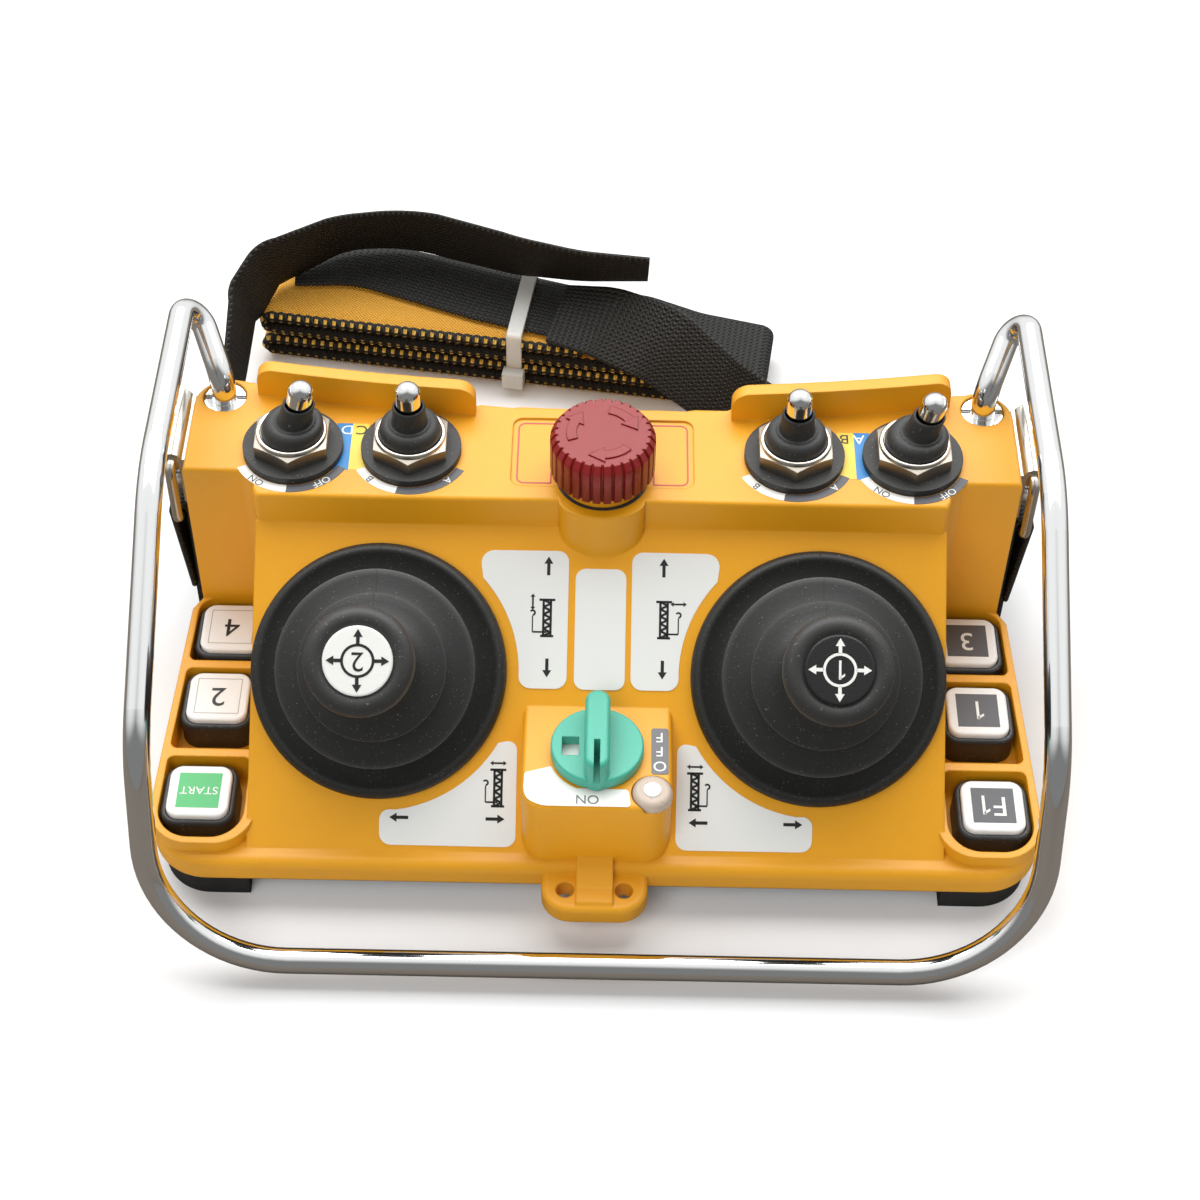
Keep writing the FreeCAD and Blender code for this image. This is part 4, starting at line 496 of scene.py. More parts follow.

# %% [markdown]
# ## Toggle boots
# Each toggle wears a small dome of rubber with a groove round its neck, held down by a plated ring.
# The outer levers lean at rest, so their boots are sheared sideways by the same amount before they
# are put in place.

# %% Toggle boots
TOGGLE_BOOT = (
    (8.3, 0.05), (8.55, 0.8), (8.5, 2.2), (8.1, 3.4), (7.4, 4.2), (6.6, 4.6), (5.9, 4.6), (5.4, 4.4),
    (5.0, 4.6), (4.75, 5.4), (4.6, 7.0), (4.5, 9.2), (4.45, 10.5), (4.2, 10.8), (3.8, 10.8),
)
TOGGLE_FLANGE = ((8.6, 0.0), (8.6, 0.7), (9.0, 0.95), (9.5, 0.9), (9.8, 0.6), (9.9, 0.0))
TOGGLE_WALL = 0.0006
TOGGLE_Y, NUT_TOP = 34.7, 88.8
PIVOT_TO_RIM, BOOT_HEIGHT = 13.6, 10.8
BOOT_BEND = (3.0, 9.5)
TOGGLES = {  # place along the row, lean at rest in degrees
    "left_outer": (-86.0, 12.0),
    "left_inner": (-53.2, 0.0),
    "right_inner": (53.2, 0.0),
    "right_outer": (86.0, 12.0),
}

for name, (x, lean) in TOGGLES.items():
    base = Matrix.Translation((x * MM, TOGGLE_Y * MM, NUT_TOP * MM))
    shear = Matrix.Identity(4)
    shear[0][2] = math.tan(math.radians(lean)) * PIVOT_TO_RIM / BOOT_HEIGHT
    dome = settle(spun(TOGGLE_BOOT, 64), f"toggle_boot_{name}", finishes["boot_rubber"], None, base @ shear)
    boot = skin(dome, TOGGLE_WALL)
    low, high = [base @ Vector((0.0, 0.0, height * MM)) for height in BOOT_BEND]
    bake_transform(boot)
    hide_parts(f"toggle_{name}_boot")
    ring = spun(TOGGLE_FLANGE, 64)
    flange = settle(ring, f"toggle_flange_{name}", finishes["plated_steel"], "case", base)
print(len(TOGGLES), "toggle boots")

# %% [markdown]
# ## Printed plates
# The plates are stuck-on foil. Each is a flat outline with rounded corners, extruded by a hair, so
# its edge catches the light as a real label's does. An outline is a list of (x, y, corner radius) in
# millimetres; a radius of zero keeps the corner, and round stretches come from `arc`.

# %% Plates from outlines
def verts_of(geometry):
    """The vertices among what an operator hands back."""
    return [part for part in geometry if isinstance(part, bmesh.types.BMVert)]


def plate(outlines, height, lift=0.0):
    """Bmesh of flat outlines, extruded upwards from a height."""
    bm = bmesh.new()
    rounded = {"segments": 6, "profile": 0.5, "affect": "VERTICES", "material": -1}
    for outline in outlines:
        verts = [bm.verts.new((x * MM, y * MM, lift * MM)) for x, y, radius in outline]
        bm.faces.new(verts)
        for vert, (x, y, radius) in zip(verts, outline):
            if radius:
                bmesh.ops.bevel(bm, geom=[vert], offset=radius * MM, **rounded)
    grown = bmesh.ops.extrude_face_region(bm, geom=bm.faces[:])["geom"]
    bmesh.ops.translate(bm, vec=(0.0, 0.0, height * MM), verts=verts_of(grown))
    return bm


print("plates ready")

# %% Outlines
def arc(x, y, radius, start, end, count=12):
    """Outline points along an arc, angles in degrees."""
    angles = [math.radians(start + (end - start) * k / count) for k in range(count + 1)]
    return [(x + radius * math.cos(a), y + radius * math.sin(a), 0.0) for a in angles]


def sector(x, y, inner, outer, start, end):
    """Outline of a ring sector."""
    return arc(x, y, outer, start, end) + arc(x, y, inner, end, start)


def rectangle(x0, y0, x1, y1, radius=0.0):
    """Outline of a rectangle between two corners."""
    return [(x0, y0, radius), (x1, y0, radius), (x1, y1, radius), (x0, y1, radius)]


def bar(x0, y0, x1, y1, width):
    """Outline of a straight line of a width."""
    run = Vector((x1 - x0, y1 - y0)).normalized() * (width / 2)
    return [(x0 + run.y, y0 - run.x, 0.0), (x1 + run.y, y1 - run.x, 0.0),
            (x1 - run.y, y1 + run.x, 0.0), (x0 - run.y, y0 + run.x, 0.0)]


def turned_points(points, angle, x=0.0, y=0.0):
    """Outline turned by degrees about the origin and then moved."""
    c, s = math.cos(math.radians(angle)), math.sin(math.radians(angle))
    return [(x + c * px - s * py, y + s * px + c * py, r) for px, py, r in points]


def on_side(outlines, sign):
    """Outlines of the right half, mirrored where the sign is negative."""
    return [[(sign * x, y, radius) for x, y, radius in outline] for outline in outlines]


print("outlines ready")

# %% Print finishes
def printed(name, code, roughness=0.42, grain=0.00001, spread=0.12):
    """Flat print: hardly any grain and no rounded edges."""
    return moulded(name, code, roughness, grain, rounding=0.0, spread=spread)


foil = printed("label_foil", "E9EAE6", 0.34, spread=0.04)
white_print = printed("white_print", "EDEDE8", 0.4, spread=0.03)
black_print = printed("black_print", "1C1C1C", 0.45)
grey_print = printed("grey_print", "6C6C70", 0.45, grain=0.00002)
dark_print = printed("dark_print", "55565A", grain=0.00004)
blue_print = printed("blue_print", "2F86C8")
pale_print = printed("pale_print", "F2D24E")
red_print = printed("red_print", "C0504A", 0.45)
faint_print = printed("faint_print", "B4B2AA", 0.45)
green_print = printed("green_print", "54BE74", grain=0.00004)
print("foil and nine inks")

# %% [markdown]
# ## Plates on the panel
# Two plates lie beside each boot, with a plain one in the middle. Their marks say which way a stick
# moves the load: an arrow at each end and a simple mast figure with a double arrow. The right-hand
# outlines are drawn once and mirrored, and the marks are printed on top of the foil.

# %% Plate outlines
BOOT_CLEAR = 38.4  # radius of the plates' round side
UPPER = [(8.7, -6.8, 3.0), (8.8, -44.9, 3.2), (22.0, -44.9, 3.2)]
UPPER += arc(STICK_X, STICK_Y, BOOT_CLEAR, 178.0, 137.0) + [(33.4, -6.9, 4.2)]
LOWER = [(22.0, -59.0, 3.0), (21.9, -88.5, 3.0), (59.2, -88.4, 3.0), (59.4, -78.6, 3.0)]
LOWER += arc(STICK_X, STICK_Y, BOOT_CLEAR, 262.0, 210.0)
MIDDLE = rectangle(-6.8, -11.6, 7.2, -45.0, 2.8)
print(len(UPPER) + len(LOWER) + len(MIDDLE), "points for the plates")

# %% Arrows and masts
ARROW = [(-0.45, -2.6, 0.0), (0.45, -2.6, 0.0), (0.45, 0.6, 0.0), (1.25, 0.6, 0.0)]
ARROW += [(0.0, 2.6, 0.0), (-1.25, 0.6, 0.0), (-0.45, 0.6, 0.0)]
POINTER = [(0.55 * x, 0.45 * y + 1.1, r) for x, y, r in ARROW]
LATTICE = [(-1.0, -5.0, -1.0, 5.0), (1.0, -5.0, 1.0, 5.0), (-2.2, 5.0, 2.2, 5.0), (-1.8, -5.0, 1.8, -5.0)]
LATTICE += [(-1.0, -5.0 + 2.0 * k, 1.0, -4.0 + 2.0 * k) for k in range(5)]
LATTICE += [(1.0, -4.0 + 2.0 * k, -1.0, -3.0 + 2.0 * k) for k in range(5)]
LATTICE_PEN, JIB_PEN, ROPE_PEN = 0.65, 0.5, 0.35
JIB, ROPE_END, HOOK = -3.9, 0.6, 1.4  # heights on the mast


def mast(x, y, reach):
    """Outlines of a lattice mast with a jib and a hook at its reach."""
    lines = [bar(x + x0, y + y0, x + x1, y + y1, LATTICE_PEN) for x0, y0, x1, y1 in LATTICE]
    lines.append(bar(x, y + JIB, x + reach, y + JIB, JIB_PEN))
    lines.append(bar(x + reach, y + JIB, x + reach, y + ROPE_END, ROPE_PEN))
    return lines + [sector(x + reach, y + HOOK, 0.4, 0.9, -90.0, 150.0)]


def double_arrow(x, y, angle):
    """Outlines of two small arrows that point away from each other."""
    return [turned_points(POINTER, angle + half, x, y) for half in (0.0, 180.0)]


print("arrows and masts ready")

# %% Panel plates
PLATE, INK = 0.25, 0.05
COLUMN = {"left": -14.3, "right": 17.5}  # x of the arrows on the upper plates
COLUMN_ENDS = (-11.0, -39.2)
ROW = {"left": (-54.0, -27.6), "right": (28.0, 54.0)}  # x of the arrows on the lower plates
ROW_Y = -80.9
UPPER_MAST_Y, LOWER_MAST_X, LOWER_MAST_Y = -25.4, 27.0, -72.4

for name, sign in SIDES:
    settle(plate(on_side([UPPER, LOWER], sign), PLATE), f"plates_{name}", foil, "case", PANEL)
    column, (west, east), (rear, front) = COLUMN[name], ROW[name], COLUMN_ENDS
    marks = [turned_points(ARROW, 0.0, column, rear), turned_points(ARROW, 180.0, column, front)]
    marks += [turned_points(ARROW, 90.0, west, ROW_Y), turned_points(ARROW, -90.0, east, ROW_Y)]
    x, y, reach = column + 0.2 * sign, UPPER_MAST_Y, 4.0 * sign
    marks += mast(x, y, reach) + double_arrow(x + reach, y + 4.4, 0.0 if name == "left" else 90.0)
    x, y, reach = sign * LOWER_MAST_X, LOWER_MAST_Y, 3.4 * sign
    marks += mast(x, y, reach) + double_arrow(x, y + 6.8, 90.0)
    settle(plate(marks, INK, PLATE), f"plate_marks_{name}", black_print, "case", PANEL)
settle(plate([MIDDLE], PLATE), "plate_middle", foil, "case", PANEL)
print("five plates on the panel")

# %% [markdown]
# ## Lettering
# Words are kept to plain control marks: numerals, single letters, ON, OFF and START. A text curve is
# made a mesh at once, because only a mesh can take its place in the frame. `spot` turns it half
# round, since the marks are read by the operator, who stands behind the box as the camera sees it.

# %% Lettering
CAPITALS = 0.69  # height of the built-in font's capitals, as a share of its size


def lettering(name, words, height, material, body, place):
    """Words centred on a place, with capitals of a height in millimetres."""
    data = bpy.data.curves.new(name, "FONT")
    data.body = words
    data.size = height * MM / CAPITALS
    data.align_x = "CENTER"
    data.align_y = "CENTER"
    data.extrude = 0.03 * MM
    carrier = shown(name, data)
    bpy.context.view_layer.update()
    mesh = bpy.data.meshes.new_from_object(carrier)
    bpy.data.objects.remove(carrier)
    bm = bmesh.new()
    bm.from_mesh(mesh)
    bmesh.ops.remove_doubles(bm, verts=bm.verts, dist=1e-7)
    bpy.data.meshes.remove(mesh)
    return settle(bm, name, material, body, place)


def spot(x, y, z, turn=180.0):
    """Place on a level face in millimetres, turned to face the operator."""
    return Matrix.Translation((x * MM, y * MM, z * MM)) @ Matrix.Rotation(math.radians(turn), 4, "Z")


print("lettering ready")

# %% [markdown]
# ## Marks on the top face
# Each toggle stands in a ring band, white on one side and dark on the other, with a letter or word at
# each end. Between the toggles of a pair lies a blue and pale field with two letters, and a thin red
# line frames the emergency stop. All of it is print, about a tenth of a millimetre thick.

# %% Marks on the top face
TOP = 82.0
BAND_INNER, BAND_OUTER, BAND_WORDS = 14.1, 16.7, 15.4
BAND_START, BAND_END = 208.0, 334.0
LEANING = (268.0, (("ON", 234.0), ("OFF", 305.0)))  # where the band changes; words and angles
UPRIGHT = (258.0, (("B", 226.0), ("A", 314.0)))

whites, darks = [], []
for name, (x, lean) in TOGGLES.items():
    split, words = LEANING if lean else UPRIGHT
    whites.append(sector(x, TOGGLE_Y, BAND_INNER, BAND_OUTER, BAND_START, split))
    darks.append(sector(x, TOGGLE_Y, BAND_INNER, BAND_OUTER, split, BAND_END))
    for (word, angle), ink in zip(words, (black_print, white_print)):
        out = Matrix.Translation((0.0, BAND_WORDS * MM, 0.0))
        centre = spot(x, TOGGLE_Y, TOP + 0.14, angle - 90.0) @ out
        lettering(f"toggle_mark_{name}_{word}", word, 2.1, ink, "case", centre)
settle(plate(whites, 0.12, TOP), "toggle_arcs_white", white_print)
settle(plate(darks, 0.12, TOP), "toggle_arcs_dark", dark_print)
print(len(whites), "toggle bands")

# %% Channel marks
CHANNEL_FRONT, CHANNEL_REAR = 27.0, 45.0
CHANNEL_EDGES = (74.6, 70.2, 65.6)
CHANNELS = (
    ("D", -71.6, white_print), ("C", -67.6, black_print), ("B", 67.6, black_print), ("A", 71.6, white_print),
)

outer, middle, inner = CHANNEL_EDGES
blue = [rectangle(outer, CHANNEL_FRONT, middle, CHANNEL_REAR)]
pale = [rectangle(middle, CHANNEL_FRONT, inner, CHANNEL_REAR)]
settle(plate(on_side(blue, -1) + blue, 0.08, TOP), "channel_marks_blue", blue_print)
settle(plate(on_side(pale, -1) + pale, 0.08, TOP), "channel_marks_pale", pale_print)
for letter, x, ink in CHANNELS:
    lettering(f"channel_{letter}", letter, 3.4, ink, "case", spot(x, 42.6, TOP + 0.1))
print(len(CHANNELS), "channel letters")

# %% Line round the stop
FIELD = 81.4  # floor of the shallow field round the stop
FIELD_SIDE, FIELD_FRONT, FIELD_REAR = 23.6, 23.9, 47.0
GAP_SIDE, GAP_REAR = 14.2, 28.0  # where the line turns in beside the collar
CORNER, PEN = 2.0, 0.5

side, front, rear = FIELD_SIDE - CORNER, FIELD_FRONT + CORNER, FIELD_REAR - CORNER
inner, outer = CORNER - PEN / 2, CORNER + PEN / 2
half_line = [
    bar(side, FIELD_FRONT, GAP_SIDE, FIELD_FRONT, PEN), bar(GAP_SIDE, FIELD_FRONT, GAP_SIDE, GAP_REAR, PEN),
    bar(FIELD_SIDE, front, FIELD_SIDE, rear, PEN), bar(side, FIELD_REAR, 7.0, FIELD_REAR, PEN),
    sector(side, front, inner, outer, 270.0, 360.0), sector(side, rear, inner, outer, 0.0, 90.0),
]
settle(plate(on_side(half_line, -1) + half_line, 0.08, FIELD), "stop_field_line", red_print)
print("red line round the stop")

# %% [markdown]
# ## Marks on the key block
# The key turns between a white ON plate in front of it and a grey OFF plate beside it. A small dial
# shows through the key's window, and the status lens has a pale core, which its milky cover spreads.

# %% Marks on the key block and the lens
KEY_TOP = 41.5
LABEL = 0.12
ON_PLATE = [(-19.4, -45.6, 0.6), (-12.5, -43.4, 0.0)] + arc(0.0, -38.5, 13.2, 204.0, 246.0)
ON_PLATE += [(8.6, -50.7, 1.0), (9.3, -56.4, 1.2), (-16.0, -56.4, 3.0), (-19.6, -53.0, 3.0)]
OFF_PLATE = rectangle(14.7, -45.4, 19.4, -29.8, 0.8)
OFF_LETTERS = (("O", -42.6, "first"), ("F", -37.6, "second"), ("F", -32.8, "third"))
DIAL = rectangle(-10.4, -43.4, -4.0, -35.0)
LENS = Matrix.Translation((15.0 * MM, -51.6 * MM, 0.0))
LENS_CORE = ((2.4, 42.6), (2.4, 43.1), (2.1, 43.3), (0.0, 43.35))

settle(plate([ON_PLATE], LABEL, KEY_TOP), "on_plate", white_print)
lettering("key_on", "ON", 2.8, grey_print, "case", spot(-2.4, -54.1, KEY_TOP + 0.15))
settle(plate([OFF_PLATE], LABEL, KEY_TOP), "off_plate", grey_print)
for letter, y, tag in OFF_LETTERS:
    lettering(f"key_off_{tag}", letter, 3.2, white_print, "case", spot(17.0, y, KEY_TOP + 0.15))
settle(plate([DIAL], 0.2, KEY_TOP), "key_dial", white_print)
lettering("key_dial_mark", "ON", 2.2, black_print, "case", spot(-7.2, -41.0, KEY_TOP + 0.23))
settle(spun(LENS_CORE, 48), "lens_core", foil, "case", LENS)
print("marks on the key block")

# %% [markdown]
# ## Legends of buttons and sticks
# Every cap carries a square legend: a coloured ground, or only a faint rim where the cap stays
# white. Every stick has a round legend with four arrows. The built-in font's numeral one is a bare
# stroke, so `figure_one` draws it with its flag.

# %% Button legends
def figure_one(name, height, material, body, place):
    """A numeral one with its flag."""
    half, pen, reach = height / 2, height / 8, 0.26 * height
    stem = bar(0.0, -half, 0.0, half, pen)
    flag = [(0.0, half, 0.0), (-reach, 0.62 * half, 0.0), (-reach, 0.36 * half, 0.0), (0.0, 0.7 * half, 0.0)]
    return settle(plate([stem, flag], 0.06), name, material, body, place)


QUARTERS = (0.0, 90.0, 180.0, 270.0)
GROUND, RIM = 5.9, 6.2  # half widths of a legend and of a rim
RIM_LINE = bar(-RIM, -RIM, RIM, -RIM, 0.25)
LEGENDS = {
    "4": ("4", None, black_print),
    "2": ("2", None, black_print),
    "start": ("START", green_print, white_print),
    "3": ("3", dark_print, white_print),
    "1": ("1", dark_print, white_print),
    "f": ("F1", dark_print, white_print),
}

for name, (words, ground, ink) in LEGENDS.items():
    low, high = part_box(f"button_cap_{name}")
    x, y, top = (low[0] + high[0]) / 2 / MM, (low[1] + high[1]) / 2 / MM, high[2] / MM
    body = f"button_{name}"
    if ground:
        square = rectangle(x - GROUND, y - GROUND, x + GROUND, y + GROUND)
        settle(plate([square], 0.06, top), f"legend_{name}", ground, body)
    else:
        rim = [turned_points(RIM_LINE, angle, x, y) for angle in QUARTERS]
        settle(plate(rim, 0.04, top), f"legend_{name}", faint_print, body)
    size = 2.5 if len(words) > 2 else 6.4
    shift = 1.9 if words == "F1" else 0.0
    if words != "1":
        lettering(f"legend_{name}_mark", words.strip("1"), size, ink, body, spot(x + shift, y, top + 0.1))
    if "1" in words:
        figure_one(f"legend_{name}_one", size, ink, body, spot(x - 1.4 * shift, y, top + 0.07))
print(len(LEGENDS), "button legends")

# %% Stick legends
FACE = 60.62
NUMERAL = 4.8
STICK_ARROW = [(-0.45, 4.1, 0.0), (0.45, 4.1, 0.0), (0.45, 6.0, 0.0), (1.2, 6.0, 0.0)]
STICK_ARROW += [(0.0, 8.0, 0.0), (-1.2, 6.0, 0.0), (-0.45, 6.0, 0.0)]
STICK_RING = ((3.6, 0.0), (3.6, INK), (4.3, INK), (4.3, 0.0), (3.6, 0.0))

for side, ink, numeral in (("left", black_print, "2"), ("right", white_print, "1")):
    body = f"joystick_{side}_lever"
    face = STICKS[side] @ Matrix.Translation((0.0, 0.0, FACE * MM))
    arrows = [turned_points(STICK_ARROW, angle) for angle in QUARTERS]
    settle(plate(arrows, INK), f"stick_arrows_{side}", ink, body, face)
    settle(spun(STICK_RING, 64), f"stick_ring_{side}", ink, body, face)
    if numeral == "1":
        figure_one(f"stick_numeral_{side}", NUMERAL, ink, body, face @ spot(0.0, 0.0, 0.0))
    else:
        lettering(f"stick_numeral_{side}", numeral, NUMERAL, ink, body, face @ spot(0.0, 0.0, 0.03))
print("stick legends")

# %% [markdown]
# ## Emergency stop
# The head is a red cap with grip teeth that run out over its edge. It starts as a toothed outline,
# extruded to its edge; the crown is extruded again, drawn in a little and raised. The cap is open
# below, so it has room for its collar when it is pressed. Three arrows are embossed on it, because
# it is twisted to let go, and a thin black ring seals the foot of the collar.

# %% Stop head
STOP = Matrix.Translation((0.0, 0.026, 0.0))
TEETH = 30
TOOTH = ((14.4, -4.0), (14.4, 4.0), (13.5, 4.9), (13.5, 7.1))  # radius and degrees
HEAD_FOOT, HEAD_EDGE, HEAD_TOP = 86.4, 97.2, 99.4
CROWN_SHARE = 0.9
HEAD_WALL = 0.0014


def level_faces(bm, height):
    """Faces that lie flat at a height in millimetres."""
    return [face for face in bm.faces if all(abs(vert.co.z / MM - height) < 0.1 for vert in face.verts)]


rim = []
for k in range(TEETH):
    for radius, angle in TOOTH:
        turn = math.radians(angle + 360.0 * k / TEETH)
        rim.append((radius * math.cos(turn), radius * math.sin(turn), 0.0))
head = plate([rim], HEAD_EDGE - HEAD_FOOT, HEAD_FOOT)
bmesh.ops.recalc_face_normals(head, faces=head.faces)
crown, foot = level_faces(head, HEAD_EDGE), level_faces(head, HEAD_FOOT)
tops = verts_of(bmesh.ops.extrude_face_region(head, geom=crown)["geom"])
bmesh.ops.scale(head, vec=(CROWN_SHARE, CROWN_SHARE, 1.0), verts=tops)
bmesh.ops.translate(head, vec=(0.0, 0.0, (HEAD_TOP - HEAD_EDGE) * MM), verts=tops)
bmesh.ops.delete(head, geom=[face for face in crown + foot if face.is_valid], context="FACES_ONLY")
bmesh.ops.poke(head, faces=level_faces(head, HEAD_TOP), offset=0.1 * MM)
cap = skin(settle(head, "stop_head", finishes["stop_red"], "estop_cap", STOP, sharp=30.0), HEAD_WALL)
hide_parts("estop_head")
print("stop head with", TEETH, "teeth")

# %% Stop arrows and seal
SWEEP = 46.0
SHAFT_INNER, SHAFT_OUTER = 7.2, 10.0
ARROW_TIP = [(11.4, 0.0, 0.0), (5.8, 0.0, 0.0), (8.4, -4.4, 0.0)]
STOP_SEAL = ((11.7, 82.0), (12.7, 82.05), (12.8, 82.2), (12.6, 82.32), (11.7, 82.34))

curved = []
for start in (80.0, 200.0, 320.0):
    end = start - SWEEP
    shaft = arc(0.0, 0.0, SHAFT_OUTER, start, end, 8) + arc(0.0, 0.0, SHAFT_INNER, end, start, 8)
    curved += [shaft, turned_points(ARROW_TIP, end)]
settle(plate(curved, 0.3, HEAD_TOP + 0.1), "stop_arrows", finishes["stop_red"], "estop_cap", STOP)
settle(spun(STOP_SEAL, 64), "stop_seal", finishes["boot_rubber"], "case", STOP)
print("stop arrows and seal")

# %% [markdown]
# ## Strips
# Webbing, pad and braid are strips swept along a bent route: a section is extruded from frame to
# frame. A curve with a bevel would do for a round cord, but a strip has to twist where it is told
# to. Every vertex stores how far along and across the strip it lies, so the weave can follow the bends.

# %% Routes
def bent(points, radii, count=8):
    """Route of straight runs joined by tangent arcs; points and radii in millimetres."""
    points = [Vector(p) * MM for p in points]
    route = [points[0]]
    for before, corner, after, radius in zip(points, points[1:], points[2:], radii):
        back, ahead = (before - corner).normalized(), (after - corner).normalized()
        half = back.angle(ahead) / 2
        centre = corner + (back + ahead).normalized() * (radius * MM / math.sin(half))
        first = corner + back * (radius * MM / math.tan(half)) - centre
        last = corner + ahead * (radius * MM / math.tan(half)) - centre
        swing = first.rotation_difference(last)
        route += [centre + Quaternion().slerp(swing, k / count) @ first for k in range(count + 1)]
    return route + [points[-1]]


def frames_along(route, widths):
    """Frame at each point: X along the route, Y along the strip's width, which may twist."""
    spans = [0.0] + [(b - a).length for a, b in zip(route, route[1:])]
    made = []
    for k, point in enumerate(route):
        along = (route[min(k + 1, len(route) - 1)] - route[max(k - 1, 0)]).normalized()
        share = sum(spans[:k + 1]) / sum(spans) * (len(widths) - 1)
        first = min(int(share), len(widths) - 2) if len(widths) > 1 else 0
        width = Vector(widths[first]).lerp(Vector(widths[min(first + 1, len(widths) - 1)]), share - first)
        up = along.cross(width).normalized()
        across = up.cross(along)
        turn = Matrix((along, across, up)).transposed().to_4x4()
        made.append(Matrix.Translation(point) @ turn)
    return made


print("routes ready")

# %% Swept strips
def swept(section, frames):
    """Bmesh of a closed section of (across, up) millimetres, extruded through the frames."""
    bm = bmesh.new()
    layer = bm.verts.layers.float_vector.new("strip")
    verts = []
    for across, up in section:
        vert = bm.verts.new(frames[0] @ Vector((0.0, across * MM, up * MM)))
        vert[layer] = Vector((0.0, across * MM, math.atan2(up, across)))
        verts.append(vert)
    edges = [bm.edges.new(pair) for pair in zip(verts, verts[1:] + verts[:1])]
    bm.faces.new(verts)
    along = 0.0
    for before, after in zip(frames, frames[1:]):
        along += (after.translation - before.translation).length
        grown = bmesh.ops.extrude_edge_only(bm, edges=edges)["geom"]
        fresh = verts_of(grown)
        grown_edges = [part for part in grown if isinstance(part, bmesh.types.BMEdge)]
        edges = [edge for edge in grown_edges if set(edge.verts) <= set(fresh)]
        bmesh.ops.transform(bm, matrix=after @ before.inverted(), verts=fresh)
        for vert in fresh:
            vert[layer] = Vector((along, vert[layer].y, vert[layer].z))
    bmesh.ops.contextual_create(bm, geom=edges)
    return bm, along


print("swept strips ready")

# %% [markdown]
# ## Webbing
# The neck strap is black ribbed webbing, 26 mm wide, because it fills the wire rings. Its ribs run
# across it and its threads along it, so two sine waves of the stored distances make the weave.

# %% Webbing finish
RIBS, THREADS = 3300.0, 3900.0  # waves of the weave, in radians per metre
WEB_DARK, WEB_LIGHT = tint("131312"), tint("2E2E2C")

webbing = Finish("ribbed_webbing", tint("222221"), 0.62, {"Specular IOR Level": 0.3})
along, across = webbing.strip()[:2]
ribs = (along * RIBS).wave()
threads = (across * THREADS + ribs * 0.9).wave()
weave = ribs * threads
webbing.feed({"Base Color": webbing.mix(weave.over(-0.6, 0.9), WEB_DARK, WEB_LIGHT)})
webbing.uneven(webbing.noise(scale=300.0), 0.6, spread=0.2)
webbing.bump(weave + threads * 0.5, 0.00022)
print("webbing finish")

# %% [markdown]
# ## Runs of webbing
# The strap is tied in a bundle behind the box. The left run stands on edge along the floor, climbs
# over the corner of the pad and ends free. The right run twists flat on to the pad, and the tail lies
# under the tie. A run is a route, the radii of its bends and the way its width leans on the way.

# %% Webbing runs
ACROSS = [-12.4 + 3.1 * k for k in range(9)]
WEB = [(-13.0, 0.0)] + [(a, -0.8) for a in ACROSS] + [(13.0, 0.0)] + [(a, 0.8) for a in reversed(ACROSS)]
DRAWN_IN, HANGING = 0.7, 0.65  # shares by which webbing past an edge comes in and hangs
NO_EDGE = 1.0


def web_run(name, points, radii, widths, place=Matrix(), edge=NO_EDGE):
    """One run of webbing, a flat strip of its own length; it hangs down past an edge."""
    bm, length = swept(WEB, frames_along(bent(points, radii), widths))
    for vert in bm.verts:
        past = max(vert.co.y - edge, 0.0)
        vert.co.y -= past * DRAWN_IN
        vert.co.z -= past * HANGING
    piece = settle(bm, name, webbing.material, "case", place, sharp=50.0)
    return piece


PAD = Matrix.Translation((-0.041, 0.164, 0.0)) @ Matrix.Rotation(math.radians(-8.0), 4, "Z")
PAD_EDGE = 0.0225
LEFT_RUN = (
    (-118.4, 33.0, 13.2), (-121.0, 132.0, 13.2), (-118.8, 154.0, 27.5), (-112.0, 166.0, 33.5),
    (-88.0, 181.5, 35.4), (-66.0, 184.5, 35.4), (-28.6, 171.5, 35.2), (-8.0, 167.5, 34.8),
    (14.0, 167.0, 34.4),
)
LEFT_LEAN = (
    (0, 0, 1), (0, 0, 1), (0, 0, 1), (0, 0, 1), (-0.1, -0.1, 0.98), (-0.25, -0.5, 0.83), (0, -0.4, 0.92),
    (0.04, -0.3, 0.95), (0.02, -0.45, 0.89), (-0.02, -0.56, 0.83),
)
RIGHT_RUN = (
    (118.4, 33.0, 13.2), (120.5, 72.0, 13.2), (100.0, 92.0, 13.2), (62.0, 112.0, 13.2), (38.0, 129.5, 15.6),
    (18.0, 144.0, 22.8), (0.0, 152.5, 24.0), (-16.0, 157.0, 23.4),
)
RIGHT_LEAN = ((0, 0, 1), (0, 0, 1), (0, 0, 1), (0.1, 0.5, 0.86), (0.14, 0.99, 0.1))
TAIL = (
    (-66.0, 10.8, 21.0), (-44.0, 15.4, 20.8), (1.0, 4.7, 20.7), (36.0, -0.6, 20.6), (54.0, 0.0, 20.6),
    (72.0, 0.0, 15.6), (96.0, 0.0, 13.0), (96.0, 0.0, 4.0), (77.0, 0.0, 1.8),
)
LEVEL = ((0, 1, 0),)
left_run = web_run("webbing_left", LEFT_RUN, (20, 12, 14, 30, 50, 60, 60), LEFT_LEAN)
right_run = web_run("webbing_right", RIGHT_RUN, (14, 40, 30, 30, 30, 30), RIGHT_LEAN)
tail = web_run("webbing_tail", TAIL, (40, 60, 60, 20, 30, 4, 4), LEVEL, PAD, PAD_EDGE)
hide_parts("strap_webbing")
print("runs of", [piece.name for piece in (left_run, right_run, tail)])
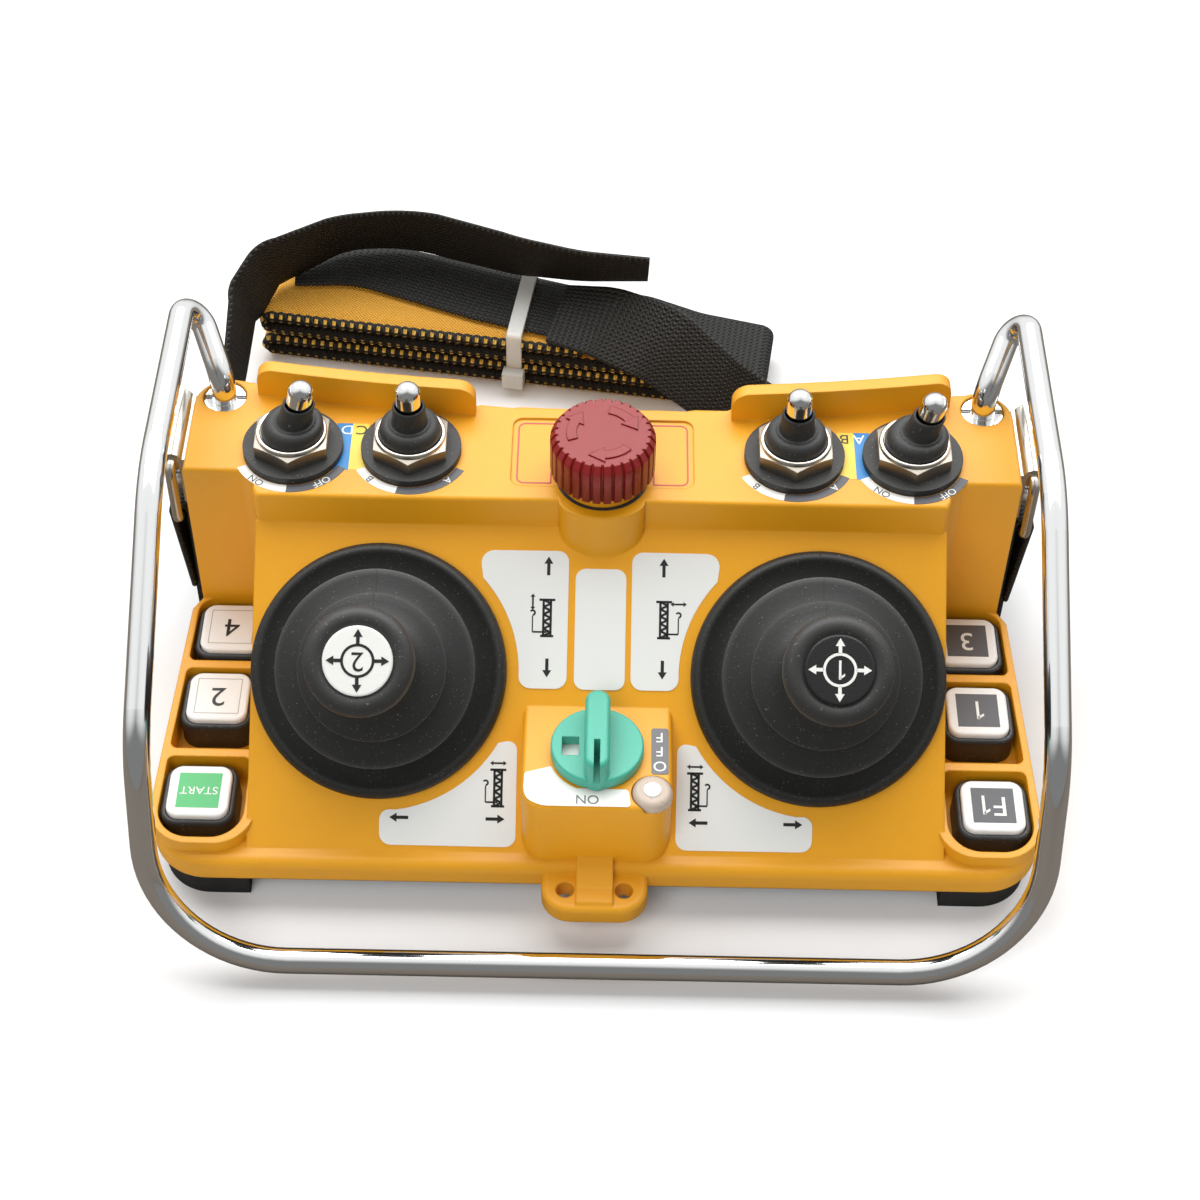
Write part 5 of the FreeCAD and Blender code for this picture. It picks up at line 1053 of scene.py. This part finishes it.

# %% [markdown]
# ## Loops at the rings
# At each side the webbing goes up through the wire ring and down again, as a narrow hairpin.

# %% Webbing loops
LOOP_Y = 44.5
LOOP_LOW, LOOP_HIGH = 26.6, 60.6
LOOP_INSIDE, LOOP_OUTSIDE, LOOP_FOOT = 117.4, 122.6, 119.4
LOOP_CORNERS = (
    (LOOP_INSIDE, LOOP_LOW), (LOOP_INSIDE, LOOP_HIGH), (LOOP_OUTSIDE, LOOP_HIGH), (LOOP_FOOT, LOOP_LOW),
)
LOOP_BENDS = (2.59, 2.33)

for side, sign in SIDES:
    hairpin = [(sign * x, LOOP_Y, z) for x, z in LOOP_CORNERS]
    bm, length = swept(WEB, frames_along(bent(hairpin, LOOP_BENDS), LEVEL))
    loop = settle(bm, f"webbing_loop_{side}", webbing.material, None, sharp=50.0)
    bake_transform(loop)
    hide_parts(f"strap_loop_{side}")
print("a loop of webbing through each ring")

# %% [markdown]
# ## Folded pad
# The shoulder pad is yellow knitted fabric with a braided edge, folded in four layers and held flat
# by the tie. Its shape is known, so a strip swept through the folds gives it without a simulation.
# The braid is a cord of beads: its section swells and shrinks along the route, and yellow flecks sit
# in two rows where its strands cross.

# %% Pad and braid finishes
STITCH = 5200.0  # waves of the knit, in radians per metre
KNIT_DARK, KNIT_LIGHT = tint("C98A22"), tint("EBB24A")
knit = Finish("pad_knit", tint("E6A83A"), 0.8)
along, across = knit.strip()[:2]
stitch = (along * STITCH).wave() * (across * STITCH).wave()
knit.feed({"Base Color": knit.mix(stitch.over(-0.8, 0.6), KNIT_DARK, KNIT_LIGHT)})
knit.bump(stitch + knit.noise(scale=160.0) * 0.6, 0.0002)

BEAD = 0.003
BEAD_START = 1.57
FLECK_ROW = 0.79
BRAID_BLACK, BRAID_YELLOW = tint("1D1C1A"), tint("D9B04A")
braid = Finish("edge_braid", BRAID_BLACK, 0.7)
strip = braid.strip()
along, around = strip[0], strip[2]
bead = along * (2 * math.pi / BEAD) + BEAD_START
rows = (around - FLECK_ROW).wave().over(0.88, 0.96) + (around + FLECK_ROW).wave().over(0.88, 0.96)
fleck = bead.wave().over(0.2, 0.6) * rows
braid.feed({"Base Color": braid.mix(fleck, BRAID_BLACK, BRAID_YELLOW)})
cords = (bead * 2.0 + around * 3.0).wave() + (bead * 2.0 - around * 3.0).wave()
braid.bump(cords, 0.0002)
print("pad and braid finishes")

# %% Folded pad
LEVELS = (3.1, 7.9, 12.7, 17.5)
FOLDS = ((72.0, 0), (-71.0, 0), (-71.0, 1), (62.0, 1), (62.0, 2), (-71.0, 2), (-71.0, 3), (36.0, 3))
FOLD_RADIUS = 2.39
PAD_HALF = 14.4
PAD_SECTION = (
    (-PAD_HALF, 0.0), (-13.6, -1.4), (-8.0, -1.7), (8.0, -1.7), (13.6, -1.4),
    (PAD_HALF, 0.0), (13.6, 1.4), (8.0, 1.7), (-8.0, 1.7), (-13.6, 1.4),
)

route = bent([(x, 0.0, LEVELS[k]) for x, k in FOLDS], (FOLD_RADIUS,) * 6, 6)
bm, length = swept(PAD_SECTION, frames_along(route, LEVEL))
pad = settle(bm, "pad_folded", knit.material, "case", PAD, sharp=60.0)
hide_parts("strap_pad")
print("pad of", round(length / MM), "mm in", len(LEVELS), "layers")

# %% Braided edges
BRAID_RADIUS, BRAID_SIDES = 1.8, 10
SWELL = 0.14


def even(route, step):
    """The same route with its points an even step apart."""
    spans = [(b - a).length for a, b in zip(route, route[1:])]
    count = round(sum(spans) / step)
    made, k, done = [], 0, 0.0
    for i in range(count + 1):
        goal = sum(spans) * i / count
        while k < len(spans) - 1 and done + spans[k] < goal:
            done += spans[k]
            k += 1
        made.append(route[k].lerp(route[k + 1], (goal - done) / spans[k]))
    return made


turns = [2 * math.pi * k / BRAID_SIDES for k in range(BRAID_SIDES)]
cord = [(BRAID_RADIUS * math.cos(turn), BRAID_RADIUS * math.sin(turn)) for turn in turns]
beads = frames_along(even(route, BEAD / 4), LEVEL)
for edge, offset in (("front", -PAD_HALF), ("rear", PAD_HALF)):
    shifted = []
    for k, place in enumerate(beads):
        swell = Matrix.Scale(1.0 + SWELL * math.cos(k * math.pi / 2), 4)
        shifted.append(place @ Matrix.Translation((0.0, offset * MM, 0.0)) @ swell)
    trim = settle(swept(cord, shifted)[0], f"pad_braid_{edge}", braid.material, "case", PAD, sharp=60.0)
print("two braided edges of", len(beads) // 4, "beads")
